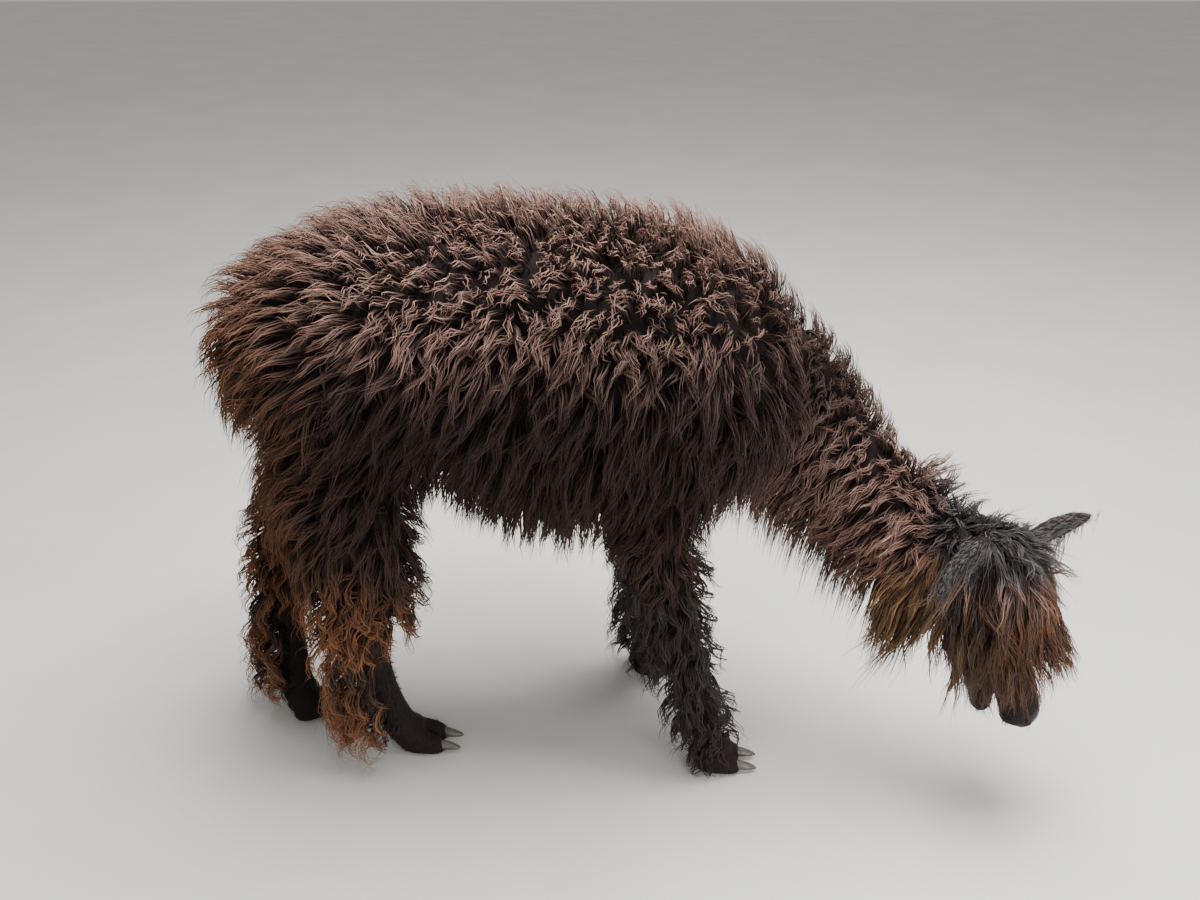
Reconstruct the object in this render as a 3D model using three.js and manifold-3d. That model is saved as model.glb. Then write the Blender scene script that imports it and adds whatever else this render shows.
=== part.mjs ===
// A life-size model of an alpaca in full fleece, grazing with its head down and turned to its right.
// Millimetres. +X points to the head, +Y to the animal's left and +Z up; the soles stand on Z = 0.
// Each solid is the coat's outer form: the fleece, the forelock and the curls on the legs are counted in.
import * as THREE from "three";
import { mergeVertices } from "three/addons/utils/BufferGeometryUtils.js";
import Module from "manifold-3d";

const wasm = await Module();
wasm.setup();

// ---------------------------------------------------------------- driving dimensions
const GAP = 0.4; // clearance between neighbouring solids
const BACK_HEIGHT = 986; // top of the fleece on the back
const BELLY_HEIGHT = 447; // hem of the belly fleece
const TRUNK_REAR = -577;
const TRUNK_FRONT = 350;
const BARREL_HALF_WIDTH = 262;
const POLL = new THREE.Vector3(608, -152, 464); // top of the skull, between the ears
const HEAD_TURN = 36; // degrees that the face is turned to the right
const HEAD_TILT = 23; // degrees that the nose leads a plumb line from the poll
const HEAD_LENGTH = 300; // poll to the tip of the nose
const MOUTH_OPEN = 9; // degrees
const EYE_RADIUS = 17;
const EAR_LENGTH = 112;
const FOOT_LENGTH = 92;
const TOE_HALF_WIDTH = 18;
const NAIL_LENGTH = 40;
const FETLOCK_HEIGHT = 58; // where a foot is parted from its leg

const DEGREE = Math.PI / 180;
const LEFTWARD = new THREE.Vector3(0, 1, 0);

const coat = new THREE.MeshStandardMaterial({ color: 0x3c2a23, roughness: 0.95 });
const tawnyCoat = new THREE.MeshStandardMaterial({ color: 0x6a412a, roughness: 0.9 });
const faceHair = new THREE.MeshStandardMaterial({ color: 0x171416, roughness: 0.7 });
const earHair = new THREE.MeshStandardMaterial({ color: 0x3d4045, roughness: 0.8 });
const horn = new THREE.MeshStandardMaterial({ color: 0x6f675c, roughness: 0.45 });
const eyeball = new THREE.MeshStandardMaterial({ color: 0x0c0807, roughness: 0.08 });

// ---------------------------------------------------------------- solids
function withoutSeams(geometry) {
  const bare = geometry.clone();
  bare.deleteAttribute("normal");
  bare.deleteAttribute("uv");
  return mergeVertices(bare, 1e-3);
}

function toSolid(geometry) {
  const merged = withoutSeams(geometry);
  return new wasm.Manifold(
    new wasm.Mesh({
      numProp: 3,
      vertProperties: new Float32Array(merged.attributes.position.array),
      triVerts: new Uint32Array(merged.index.array),
    }),
  );
}

function toGeometry(solid) {
  const { vertProperties, triVerts, numProp, numVert } = solid.getMesh();
  const position = new Float32Array(numVert * 3);
  for (let i = 0; i < numVert; i++) {
    position.set(vertProperties.subarray(i * numProp, i * numProp + 3), i * 3);
  }
  const geometry = new THREE.BufferGeometry();
  geometry.setAttribute("position", new THREE.BufferAttribute(position, 3));
  geometry.setIndex(new THREE.BufferAttribute(new Uint32Array(triVerts), 1));
  return geometry;
}

function largestPiece(solid) {
  return solid.decompose().sort((a, b) => b.volume() - a.volume())[0];
}

// A body is its solid and its cutter, the same form with the surface moved out by the gap.
function toBody(geometry) {
  const outer = withoutSeams(geometry);
  outer.computeVertexNormals();
  const { position, normal } = outer.attributes;
  for (let i = 0; i < position.count; i++) {
    position.setXYZ(
      i,
      position.getX(i) + GAP * normal.getX(i),
      position.getY(i) + GAP * normal.getY(i),
      position.getZ(i) + GAP * normal.getZ(i),
    );
  }
  return { solid: toSolid(geometry), cutter: toSolid(outer) };
}

function joined(bodies) {
  return bodies.reduce((a, b) => ({ solid: a.solid.add(b.solid), cutter: a.cutter.add(b.cutter) }));
}

function boxSolid(low, high) {
  const size = high.clone().sub(low);
  const box = new THREE.BoxGeometry(size.x, size.y, size.z);
  const centre = low.clone().add(high).multiplyScalar(0.5);
  return toSolid(box.translate(centre.x, centre.y, centre.z));
}

// What lies between two heights. The cutter goes half the gap further.
function between(body, low, high) {
  const reach = 5000;
  const slab = (from, to) =>
    boxSolid(new THREE.Vector3(-reach, -reach, from), new THREE.Vector3(reach, reach, to));
  return {
    solid: body.solid.intersect(slab(low, high)),
    cutter: body.cutter.intersect(slab(low - GAP / 2, high + GAP / 2)),
  };
}

// Places along a loft from 0 to 1, closer together in the rounded ends.
function ringPlaces(rings, domeRings, startDome, endDome) {
  const places = [];
  for (let i = 1; i <= domeRings && startDome > 0; i++) {
    places.push(startDome * (1 - Math.cos((i / domeRings) * (Math.PI / 2))));
  }
  if (startDome === 0) places.push(0);
  const from = startDome;
  const to = 1 - endDome;
  for (let i = 1; i < rings; i++) places.push(from + ((to - from) * i) / rings);
  for (let i = 0; i < domeRings && endDome > 0; i++) {
    places.push(1 - endDome * (1 - Math.sin((i / domeRings) * (Math.PI / 2))));
  }
  if (endDome === 0) places.push(1);
  return places;
}

function domeFactor(u, startDome, endDome) {
  let factor = 1;
  if (startDome > 0 && u < startDome) factor *= Math.sqrt(1 - (1 - u / startDome) ** 2);
  if (endDome > 0 && u > 1 - endDome) factor *= Math.sqrt(1 - (1 - (1 - u) / endDome) ** 2);
  return factor;
}

// A closed body through stations [x, y, z, half depth, half width]. The width runs along the sideways axis and
// the depth square to it and to the path. Domes round off a share of the length at each end.
function loft(stations, { rings, sides, domes = [0.1, 0.1], domeRings = 3, square = 2, sideways = LEFTWARD }) {
  const path = new THREE.CatmullRomCurve3(
    stations.map(([x, y, z]) => new THREE.Vector3(x, y, z)),
    false,
    "catmullrom",
    0.5,
  );
  const sizes = new THREE.CatmullRomCurve3(
    stations.map(([, , , depth, width]) => new THREE.Vector3(depth, width, 0)),
    false,
    "catmullrom",
    0.5,
  );
  const position = [];
  const index = [];
  const places = ringPlaces(rings, domeRings, ...domes);
  const bulge = (value) => Math.sign(value) * Math.abs(value) ** (2 / square);
  for (const u of places) {
    const centre = path.getPoint(u);
    const along = path.getTangent(u);
    const wide = sideways.clone().addScaledVector(along, -sideways.dot(along)).normalize();
    const deep = along.clone().cross(wide);
    const size = sizes.getPoint(u).multiplyScalar(domeFactor(u, ...domes));
    for (let j = 0; j < sides; j++) {
      const angle = (j / sides) * 2 * Math.PI;
      const point = centre
        .clone()
        .addScaledVector(wide, size.y * bulge(Math.cos(angle)))
        .addScaledVector(deep, size.x * bulge(Math.sin(angle)));
      position.push(point.x, point.y, point.z);
    }
  }
  const start = position.length / 3;
  position.push(...path.getPoint(0).toArray(), ...path.getPoint(1).toArray());
  const last = (places.length - 1) * sides;
  for (let j = 0; j < sides; j++) {
    const next = (j + 1) % sides;
    index.push(start, next, j, start + 1, last + j, last + next);
    for (let i = 0; i < last; i += sides) {
      index.push(i + j, i + next, i + sides + next, i + j, i + sides + next, i + sides + j);
    }
  }
  const geometry = new THREE.BufferGeometry();
  geometry.setAttribute("position", new THREE.BufferAttribute(new Float32Array(position), 3));
  geometry.setIndex(index);
  return geometry;
}

// ---------------------------------------------------------------- the group and its frames
const alpaca = new THREE.Group();

// The head's own frame: +X to the nose, +Z to the forehead's side, +Y to its left.
const headGroup = new THREE.Group();
headGroup.position.copy(POLL);
headGroup.rotation.set(0, (90 - HEAD_TILT) * DEGREE, -HEAD_TURN * DEGREE, "ZYX");
alpaca.add(headGroup);

const cutters = [];

// Adds a body, cut back from every body added before it, as a mesh in the given group.
function keep(name, body, material, group = alpaca) {
  let shape = body.solid;
  for (const cutter of cutters) shape = shape.subtract(cutter);
  shape = largestPiece(shape);
  cutters.push(body.cutter);
  alpaca.updateMatrixWorld(true);
  const geometry = toGeometry(shape).applyMatrix4(group.matrixWorld.clone().invert());
  const mesh = new THREE.Mesh(geometry, material);
  mesh.name = name;
  group.add(mesh);
}

function inHead(geometry) {
  alpaca.updateMatrixWorld(true);
  return toBody(geometry.applyMatrix4(headGroup.matrixWorld));
}

// ---------------------------------------------------------------- head
const SIDES = { right: -1, left: 1 };
const EYE_PLACE = new THREE.Vector3(0.3 * HEAD_LENGTH, 41, -14);

for (const [side, sign] of Object.entries(SIDES)) {
  const ball = new THREE.SphereGeometry(EYE_RADIUS, 12, 8);
  ball.translate(EYE_PLACE.x, sign * EYE_PLACE.y, EYE_PLACE.z);
  keep("eye_" + side, inHead(ball), eyeball, headGroup);
}

// A spear-shaped ear along a direction, cupped on the side that its opening faces.
function earBody(root, direction, opening) {
  const across = direction.clone().cross(opening).normalize();
  const at = (share, lift) =>
    root
      .clone()
      .addScaledVector(direction, share * EAR_LENGTH)
      .addScaledVector(opening, lift * EAR_LENGTH)
      .toArray();
  const blade = loft(
    [
      [...at(-0.15, 0), 15, 14],
      [...at(0.1, 0), 15, 17],
      [...at(0.4, -0.03), 14, 21],
      [...at(0.72, -0.02), 12, 18],
      [...at(1, 0.05), 7, 8],
    ],
    { rings: 6, sides: 10, domes: [0.08, 0.12], domeRings: 2, sideways: across },
  );
  const cup = loft(
    [
      [...at(0.22, 0.14), 7, 6],
      [...at(0.42, 0.1), 12, 12],
      [...at(0.68, 0.1), 10, 10],
      [...at(0.86, 0.14), 5, 4],
    ],
    { rings: 4, sides: 6, domes: [0.15, 0.15], domeRings: 1, sideways: across },
  );
  const body = toBody(blade);
  return { solid: body.solid.subtract(toSolid(cup)), cutter: body.cutter };
}

const rightEarWay = new THREE.Vector3(-0.72, -0.5, -0.48).normalize();
const leftEarWay = new THREE.Vector3(0.92, 0.22, 0.32).normalize();
keep(
  "ear_right",
  earBody(new THREE.Vector3(566, -188, 498), rightEarWay, new THREE.Vector3(0.5, -0.87, 0.1).normalize()),
  earHair,
  headGroup,
);
keep(
  "ear_left",
  earBody(new THREE.Vector3(664, -106, 452), leftEarWay, new THREE.Vector3(0.25, -0.9, 0.1).normalize()),
  earHair,
  headGroup,
);

// Skull and upper muzzle: stations along the head, as shares of its length.
function faceStation(share, height, depth, width) {
  return [share * HEAD_LENGTH, 0, height, depth, width];
}

const face = inHead(
  loft(
    [
      faceStation(-0.12, -22, 40, 38),
      faceStation(0.02, -22, 56, 52),
      faceStation(0.22, -26, 56, 58),
      faceStation(0.4, -32, 46, 50),
      faceStation(0.58, -36, 36, 38),
      faceStation(0.75, -37, 30, 33),
      faceStation(0.9, -38, 31, 36),
      faceStation(1, -42, 24, 28),
    ],
    { rings: 8, sides: 14, domes: [0.1, 0.09] },
  ),
);
keep("head", face, faceHair, headGroup);

// The lower jaw hangs open a little about the hinge below the eye.
const jaw = loft(
  [
    faceStation(0.16, -66, 26, 36),
    faceStation(0.3, -76, 26, 36),
    faceStation(0.5, -74, 21, 28),
    faceStation(0.7, -70, 17, 24),
    faceStation(0.86, -67, 17, 25),
    faceStation(0.95, -65, 14, 19),
  ],
  { rings: 6, sides: 12, domes: [0.12, 0.12] },
);
const jawHinge = new THREE.Vector3(0.2 * HEAD_LENGTH, 0, -40);
jaw
  .translate(-jawHinge.x, 0, -jawHinge.z)
  .rotateY(MOUTH_OPEN * DEGREE)
  .translate(jawHinge.x, 0, jawHinge.z);
keep("lower_jaw", inHead(jaw), faceHair, headGroup);

// ---------------------------------------------------------------- trunk, forelock and neck
// A section of the trunk from its top and bottom height and its half width.
function barrel(x, top, bottom, width) {
  return [x, 0, (top + bottom) / 2, (top - bottom) / 2, width];
}

const trunk = toBody(
  loft(
    [
      barrel(TRUNK_REAR, 760, 560, 150),
      barrel(-510, 852, 528, 198),
      barrel(-410, 936, 545, 236),
      barrel(-290, 977, 560, 250),
      barrel(-170, BACK_HEIGHT, 500, 260),
      barrel(-50, 981, BELLY_HEIGHT, BARREL_HALF_WIDTH),
      barrel(80, 956, BELLY_HEIGHT + 2, 258),
      barrel(190, 906, 468, 232),
      barrel(280, 840, 500, 190),
      barrel(TRUNK_FRONT, 790, 545, 150),
    ],
    { rings: 13, sides: 24, domes: [0.12, 0.15], square: 2.15 },
  ),
);
keep("trunk", trunk, coat);

const forelock = inHead(
  loft(
    [
      faceStation(-0.17, -12, 44, 48),
      faceStation(0.0, -8, 76, 82),
      faceStation(0.2, -12, 84, 100),
      faceStation(0.42, -16, 88, 112),
      faceStation(0.58, -18, 84, 108),
      faceStation(0.72, -18, 66, 84),
    ],
    { rings: 6, sides: 16, domes: [0.2, 0.1] },
  ),
);
keep("forelock", forelock, tawnyCoat, headGroup);

// The neck ends in the ruff of cheek wool that hangs behind the jaw.
const neck = toBody(
  loft(
    [
      [150, 0, 706, 184, 165],
      [265, -6, 626, 170, 142],
      [385, -52, 520, 134, 112],
      [486, -110, 420, 136, 112],
      [556, -152, 334, 124, 102],
    ],
    { rings: 9, sides: 18, domes: [0.12, 0.16] },
  ),
);
keep("neck", neck, coat);

const tail = toBody(
  loft(
    [
      [-530, 0, 838, 30, 34],
      [-566, 0, 770, 30, 42],
      [-577, 0, 685, 26, 44],
      [-572, 0, 598, 22, 34],
    ],
    { rings: 5, sides: 10, domes: [0.12, 0.2] },
  ),
);
keep("tail", tail, coat);

// ---------------------------------------------------------------- legs
// Each leg runs from inside the trunk to the fetlock: [x, y, z, half depth, half width].
const LEGS = {
  fore_right: {
    split: 290,
    foot: { at: [206, -102], turn: -4, pasternFrom: [188, -109] },
    stations: [
      [66, -128, 640, 96, 84],
      [80, -134, 520, 78, 72],
      [98, -137, 420, 66, 62],
      [122, -134, 300, 62, 56],
      [146, -124, 205, 57, 52],
      [170, -115, 125, 52, 47],
      [190, -108, 50, 43, 42],
    ],
  },
  fore_left: {
    split: 290,
    foot: { at: [106, 168], turn: 6, pasternFrom: [88, 166] },
    stations: [
      [66, 128, 640, 96, 84],
      [70, 136, 520, 76, 72],
      [74, 145, 420, 62, 62],
      [78, 154, 300, 56, 55],
      [74, 160, 200, 52, 50],
      [80, 164, 115, 50, 46],
      [88, 166, 50, 42, 42],
    ],
  },
  hind_right: {
    split: 300,
    foot: { at: [-306, -52], turn: -3, pasternFrom: [-352, -61] },
    stations: [
      [-400, -95, 690, 130, 98],
      [-390, -124, 560, 134, 112],
      [-374, -124, 450, 114, 98],
      [-378, -116, 350, 100, 88],
      [-404, -104, 240, 86, 78],
      [-404, -86, 140, 74, 66],
      [-392, -68, 50, 66, 52],
    ],
  },
  hind_left: {
    split: 300,
    foot: { at: [-524, 42], turn: 34, pasternFrom: [-548, 34] },
    stations: [
      [-415, 95, 690, 135, 98],
      [-452, 120, 560, 136, 110],
      [-492, 116, 450, 108, 96],
      [-524, 104, 350, 94, 86],
      [-572, 86, 230, 82, 74],
      [-574, 66, 130, 76, 62],
      [-574, 46, 50, 64, 50],
    ],
  },
};

// Where a toe's centre line stands beside the middle of the foot.
const TOE_OFFSET = TOE_HALF_WIDTH - 1;
const SOLE_CUT = 3; // depth shaved off below a toe to make its flat sole

function footFrame(foot) {
  const frame = new THREE.Group();
  frame.position.set(foot.at[0], foot.at[1], 0);
  frame.rotation.z = foot.turn * DEGREE;
  alpaca.add(frame);
  frame.updateMatrixWorld(true);
  return frame;
}

function nailGeometry(offset) {
  const from = 0.26 * FOOT_LENGTH;
  return loft(
    [
      [from, offset, 19, 9, 10],
      [from + 0.45 * NAIL_LENGTH, offset, 16, 8.5, 8.5],
      [from + 0.8 * NAIL_LENGTH, offset, 11, 6.5, 6],
      [from + NAIL_LENGTH, offset, 7.5, 3.5, 3],
    ],
    { rings: 3, sides: 6, domes: [0.12, 0.15], domeRings: 1 },
  );
}

function toeGeometry(offset) {
  const half = FOOT_LENGTH / 2;
  return loft(
    [
      [-half, 0.75 * offset, 20 - SOLE_CUT, 20, TOE_HALF_WIDTH],
      [-0.3 * half, offset, 23 - SOLE_CUT, 23, TOE_HALF_WIDTH + 2],
      [0.4 * half, offset, 18 - SOLE_CUT, 18, TOE_HALF_WIDTH],
      [0.86 * half, offset, 13 - SOLE_CUT, 13, TOE_HALF_WIDTH - 5],
    ],
    { rings: 3, sides: 8, domes: [0.22, 0.2], domeRings: 2 },
  );
}

for (const [name, leg] of Object.entries(LEGS)) {
  const whole = toBody(loft(leg.stations, { rings: 9, sides: 12, domes: [0.08, 0.05], domeRings: 2, square: 2.1 }));
  const frame = footFrame(leg.foot);
  const inFoot = (geometry) => toBody(geometry.applyMatrix4(frame.matrixWorld));

  for (const [side, sign] of Object.entries({ outer: -1, inner: 1 })) {
    const offset = -sign * Math.sign(leg.foot.at[1]) * TOE_OFFSET;
    keep(name + "_nail_" + side, inFoot(nailGeometry(offset)), horn, frame);
  }

  const [fromX, fromY] = leg.foot.pasternFrom;
  const [footX, footY] = leg.foot.at;
  const pastern = toBody(
    loft(
      [
        [fromX - 4, fromY, 120, 31, 27],
        [fromX, fromY, 74, 33, 30],
        [(2 * fromX + footX) / 3, (2 * fromY + footY) / 3, 44, 34, 33],
        [(fromX + 2 * footX) / 3, (fromY + 2 * footY) / 3, 14, 26, 30],
      ],
      { rings: 3, sides: 10, domes: [0.05, 0.2], domeRings: 1 },
    ),
  );
  const toes = [-1, 1].map((sign) => inFoot(toeGeometry(sign * TOE_OFFSET)));
  const foot = joined([pastern, ...toes]);
  keep(name + "_foot", between(foot, 0, FETLOCK_HEIGHT), faceHair, frame);

  keep(name + "_lower", between(whole, FETLOCK_HEIGHT - 22, leg.split - GAP), tawnyCoat);
  keep(name + "_upper", between(whole, leg.split, BACK_HEIGHT), coat);
}

// The origin is the middle of the whole model's box, at floor level.
const box = new THREE.Box3().setFromObject(alpaca, true);
const middle = box.getCenter(new THREE.Vector3());
alpaca.children.forEach((child) => child.position.sub(new THREE.Vector3(middle.x, middle.y, box.min.z)));

alpaca.userData.middle = [middle.x, middle.y, box.min.z];

export default alpaca;
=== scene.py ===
"""A life-size alpaca in full fleece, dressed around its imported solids.

One skin is grown from the solids of flesh. Locks of wool stand on it and follow the lie of the coat, and each
of their strands is a closed tapering solid. Lengths are in metres. +X points to the head and +Y to the
animal's left.
"""

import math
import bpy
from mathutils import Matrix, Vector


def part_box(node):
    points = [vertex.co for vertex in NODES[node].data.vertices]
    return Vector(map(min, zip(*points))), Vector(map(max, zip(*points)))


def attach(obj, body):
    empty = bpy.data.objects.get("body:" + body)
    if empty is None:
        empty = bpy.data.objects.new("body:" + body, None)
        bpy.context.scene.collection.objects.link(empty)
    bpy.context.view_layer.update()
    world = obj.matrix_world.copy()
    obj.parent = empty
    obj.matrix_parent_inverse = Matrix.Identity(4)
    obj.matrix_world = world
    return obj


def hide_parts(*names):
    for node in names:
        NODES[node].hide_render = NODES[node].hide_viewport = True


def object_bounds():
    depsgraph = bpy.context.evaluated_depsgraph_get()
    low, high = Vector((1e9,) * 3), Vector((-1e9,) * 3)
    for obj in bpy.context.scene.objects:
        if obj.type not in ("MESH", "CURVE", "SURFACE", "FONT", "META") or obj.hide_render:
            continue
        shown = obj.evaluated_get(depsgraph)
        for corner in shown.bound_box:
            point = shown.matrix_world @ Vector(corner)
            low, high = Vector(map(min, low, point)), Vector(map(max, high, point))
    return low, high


bl_info = {
    "name": "Grazing alpaca",
    "version": (1, 0, 0),
    "blender": (4, 5, 0),
    "location": "3D View > Sidebar > Alpaca",
    "description": "Builds the skin, fleece, eyes and nails of a life-size alpaca around its solids",
    "category": "Add Mesh",
}

from dataclasses import dataclass, replace
from functools import cache

import bmesh
import bpy
import numpy as np
from bpy.props import FloatProperty, FloatVectorProperty, IntProperty, PointerProperty
from mathutils import Matrix, Vector
from mathutils.bvhtree import BVHTree

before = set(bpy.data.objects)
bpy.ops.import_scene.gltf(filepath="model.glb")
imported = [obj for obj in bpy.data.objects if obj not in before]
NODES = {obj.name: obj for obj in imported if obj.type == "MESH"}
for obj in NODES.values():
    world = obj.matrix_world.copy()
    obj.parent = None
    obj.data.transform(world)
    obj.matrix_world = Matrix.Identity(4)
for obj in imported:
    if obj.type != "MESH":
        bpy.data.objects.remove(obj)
CAD_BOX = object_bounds()

SEED = 20

# ---------------------------------------------------------------- grains and limits
SWELL = 0.0008  # how far solids are moved out before they melt together
TRUNK_GRAIN = 0.009  # of the trunk's form, from which the skin is drawn in
COAT_GRAIN = 0.010  # of the coat's outer form, up to which the wool reaches
SOLE = 0.0005  # height of the soles over the floor
FARTHEST_REACH = 0.16  # from the skin to the tips of the wool
LEAST_STAND = 0.004  # of a lock over the skin
ROOT_DEPTH = 0.003  # of a lock's root under the skin
TIP_SLACK = 0.012  # how far the tips of locks may pass the box of the solids
FLOOR_GAP = 0.005  # between the floor and the lowest strands
MOST_TRIANGLES = 200000  # in one piece of the coat
FAINTEST = 0.02  # share of a region under which no lock grows
TRIES = 3.2  # places tried for each lock that may fit
PATCH = 0.0028  # side of a strand's patch, as a share of the unwrap
PATCH_DRIFT = 0.0012  # how far the patches of one lock lie from its root's, as a share of the unwrap
PATCH_EDGE = 0.0005  # kept free along the border of the unwrap

# ---------------------------------------------------------------- the animal's own places
LEGS = ("fore_right", "fore_left", "hind_right", "hind_left")
NAILS = tuple(name for name in NODES if "_nail_" in name)
FEET = tuple(leg + "_foot" for leg in LEGS)
FLEECED = ("trunk", "tail", "neck") + tuple(leg + "_upper" for leg in LEGS)
SHANKS = tuple(leg + "_lower" for leg in LEGS)
EARS = ("ear_left", "ear_right")
SKULL = ("head", "lower_jaw")
BARE = SKULL + EARS + FEET

CENTRING = Vector((0.05704, -0.00934, 0.0))  # from the animal's own origin to the middle of its box
POLL = Vector((0.608, -0.152, 0.464)) - CENTRING
HEAD_LENGTH = 0.300
HEAD_AXES = Matrix.Rotation(math.radians(-36), 3, "Z") @ Matrix.Rotation(math.radians(67), 3, "Y")
SIGNS = {"right": -1, "left": 1}  # of Y on each side of the head
EYE_RADIUS = 0.017
EYE_PLACES = {side: (0.3 * HEAD_LENGTH, 0.041 * sign, -0.014) for side, sign in SIGNS.items()}
LID_RUN, LID_RISE = 0.72, 0.44  # half the opening between the lids, lengthwise and upwards, in radians
NOSTRIL = (0.283, 0.019, -0.026)
# Soft forms of the left half of the face, in the head's own frame: how far each stands out, its middle,
# the way it runs, half its length, half its width and the way it is pressed.
FACE_FORMS = {
    "lip": (0.0040, (0.279, 0.016, -0.058), (0.1, 1, 0), 0.0140, 0.0100, (1, 0, -0.6)),
    "cheek": (0.0050, (0.110, 0.052, -0.060), (1, 0, -0.3), 0.0500, 0.0280, (0, 1, 0)),
    "hollow": (-0.0050, (0.170, 0.040, -0.040), (1, 0, -0.1), 0.0400, 0.0160, (0, 1, 0)),
    "brow": (0.0050, (0.078, 0.040, 0.010), (1, 0, -0.15), 0.0260, 0.0100, (0, 1, 0.6)),
}
LIP_GROOVE = (-0.0060, (0.296, 0, -0.052), (0.15, 0, 1), 0.0200, 0.0028, (1, 0, 0))
NECK_ROOT = Vector((0.235, 0.0, 0.665)) - CENTRING
NECK_WAY = Vector((0.66, -0.26, -0.71)).normalized()
NECK_RIGHT = (-0.37, -0.93, 0.0)

# Paths of flesh inside the wool: each leg from thigh or elbow to fetlock, the neck to the poll, and the tail.
# Each place is x, y, z, half depth, half width.
FLESH_PATHS = {
    "fore_right": (
        (0.072, -0.132, 0.500, 0.052, 0.046),
        (0.098, -0.134, 0.400, 0.042, 0.037),
        (0.126, -0.130, 0.300, 0.034, 0.031),
        (0.144, -0.124, 0.225, 0.026, 0.024),
        (0.166, -0.116, 0.140, 0.022, 0.021),
        (0.184, -0.110, 0.070, 0.026, 0.025),
        (0.196, -0.106, 0.040, 0.026, 0.026),
    ),
    "fore_left": (
        (0.068, 0.136, 0.500, 0.052, 0.046),
        (0.074, 0.146, 0.400, 0.042, 0.037),
        (0.078, 0.153, 0.300, 0.034, 0.031),
        (0.078, 0.158, 0.225, 0.026, 0.024),
        (0.081, 0.163, 0.140, 0.022, 0.021),
        (0.086, 0.166, 0.070, 0.026, 0.025),
        (0.097, 0.166, 0.040, 0.026, 0.026),
    ),
    "hind_right": (
        (-0.376, -0.120, 0.480, 0.080, 0.062),
        (-0.372, -0.118, 0.380, 0.062, 0.050),
        (-0.392, -0.106, 0.290, 0.046, 0.033),
        (-0.378, -0.094, 0.230, 0.029, 0.025),
        (-0.364, -0.080, 0.140, 0.024, 0.023),
        (-0.352, -0.062, 0.070, 0.028, 0.027),
        (-0.338, -0.057, 0.040, 0.027, 0.026),
    ),
    "hind_left": (
        (-0.480, 0.116, 0.480, 0.078, 0.060),
        (-0.512, 0.108, 0.380, 0.060, 0.048),
        (-0.560, 0.094, 0.290, 0.046, 0.033),
        (-0.556, 0.080, 0.230, 0.029, 0.025),
        (-0.552, 0.058, 0.140, 0.024, 0.023),
        (-0.548, 0.037, 0.070, 0.028, 0.027),
        (-0.536, 0.037, 0.040, 0.027, 0.026),
    ),
    "neck": (
        (0.130, 0.004, 0.745, 0.150, 0.120),
        (0.200, 0.000, 0.705, 0.132, 0.104),
        (0.282, -0.011, 0.643, 0.104, 0.086),
        (0.340, -0.032, 0.585, 0.090, 0.076),
        (0.393, -0.054, 0.532, 0.078, 0.068),
        (0.455, -0.090, 0.480, 0.068, 0.060),
        (0.515, -0.122, 0.452, 0.060, 0.053),
        (0.565, -0.140, 0.438, 0.052, 0.047),
        (0.600, -0.150, 0.424, 0.044, 0.042),
    ),
    "tail": (
        (-0.500, 0.000, 0.810, 0.026, 0.026),
        (-0.556, 0.000, 0.760, 0.026, 0.026),
        (-0.562, 0.000, 0.700, 0.024, 0.024),
        (-0.554, 0.000, 0.640, 0.012, 0.012),
    ),
}


# ---------------------------------------------------------------- small mathematics
def smooth_step(low, high, value):
    """0 up to the first number, 1 from the second on, and an even rise between."""
    share = np.clip((value - low) / (high - low), 0.0, 1.0)
    return share * share * (3 - 2 * share)


def unit(vectors):
    """Vectors made one metre long."""
    return vectors / np.maximum(np.linalg.norm(vectors, axis=-1, keepdims=True), 1e-9)


def dots(a, b):
    """The product of each pair of vectors, kept as a column."""
    return np.sum(a * b, axis=-1, keepdims=True)


def in_head(points):
    """Points in the head's own frame: x to the nose, y to its left, z to the forehead's side."""
    return (np.asarray(points) - np.array(POLL)) @ np.array(HEAD_AXES)


def out_of_head(points):
    """Points of the head's own frame in the scene's."""
    return np.array(POLL) + points @ np.array(HEAD_AXES).T


def on_head(place):
    """One place of the head's own frame in the scene's."""
    return POLL + HEAD_AXES @ Vector(place)


def from_head(way):
    """A way of the head's own frame in the scene's."""
    return np.array(HEAD_AXES @ Vector(way))


def down_neck(points):
    """How far points lie from the root of the neck towards the poll."""
    return (points - np.array(NECK_ROOT)) @ np.array(NECK_WAY)


def share_along(points, low, high):
    """How far points lie from one end, 0, to the other, 1."""
    way = high - low
    return ((points - low) @ way) / (way @ way)


# ---------------------------------------------------------------- meshes
def coordinates(mesh):
    """The places of a mesh's points."""
    points = np.empty(len(mesh.vertices) * 3, np.float32)
    mesh.vertices.foreach_get("co", points)
    return points.reshape(-1, 3).astype(float)


def vertex_normals(mesh):
    """The way each point of a mesh faces."""
    normals = np.empty(len(mesh.vertices) * 3, np.float32)
    mesh.vertex_normals.foreach_get("vector", normals)
    return normals.reshape(-1, 3).astype(float)


def corners(mesh):
    """The three points of each triangle of a mesh."""
    mesh.calc_loop_triangles()
    corner = np.empty(len(mesh.loop_triangles) * 3, np.int32)
    mesh.loop_triangles.foreach_get("vertices", corner)
    return corner.reshape(-1, 3)


def edge_pairs(mesh):
    """The two points of each edge of a mesh."""
    pairs = np.empty(len(mesh.edges) * 2, np.int32)
    mesh.edges.foreach_get("vertices", pairs)
    return pairs.reshape(-1, 2)


def set_coordinates(mesh, points):
    """Moves a mesh's points to new places."""
    mesh.vertices.foreach_set("co", np.ascontiguousarray(points, np.float32).ravel())
    mesh.update()


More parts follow.
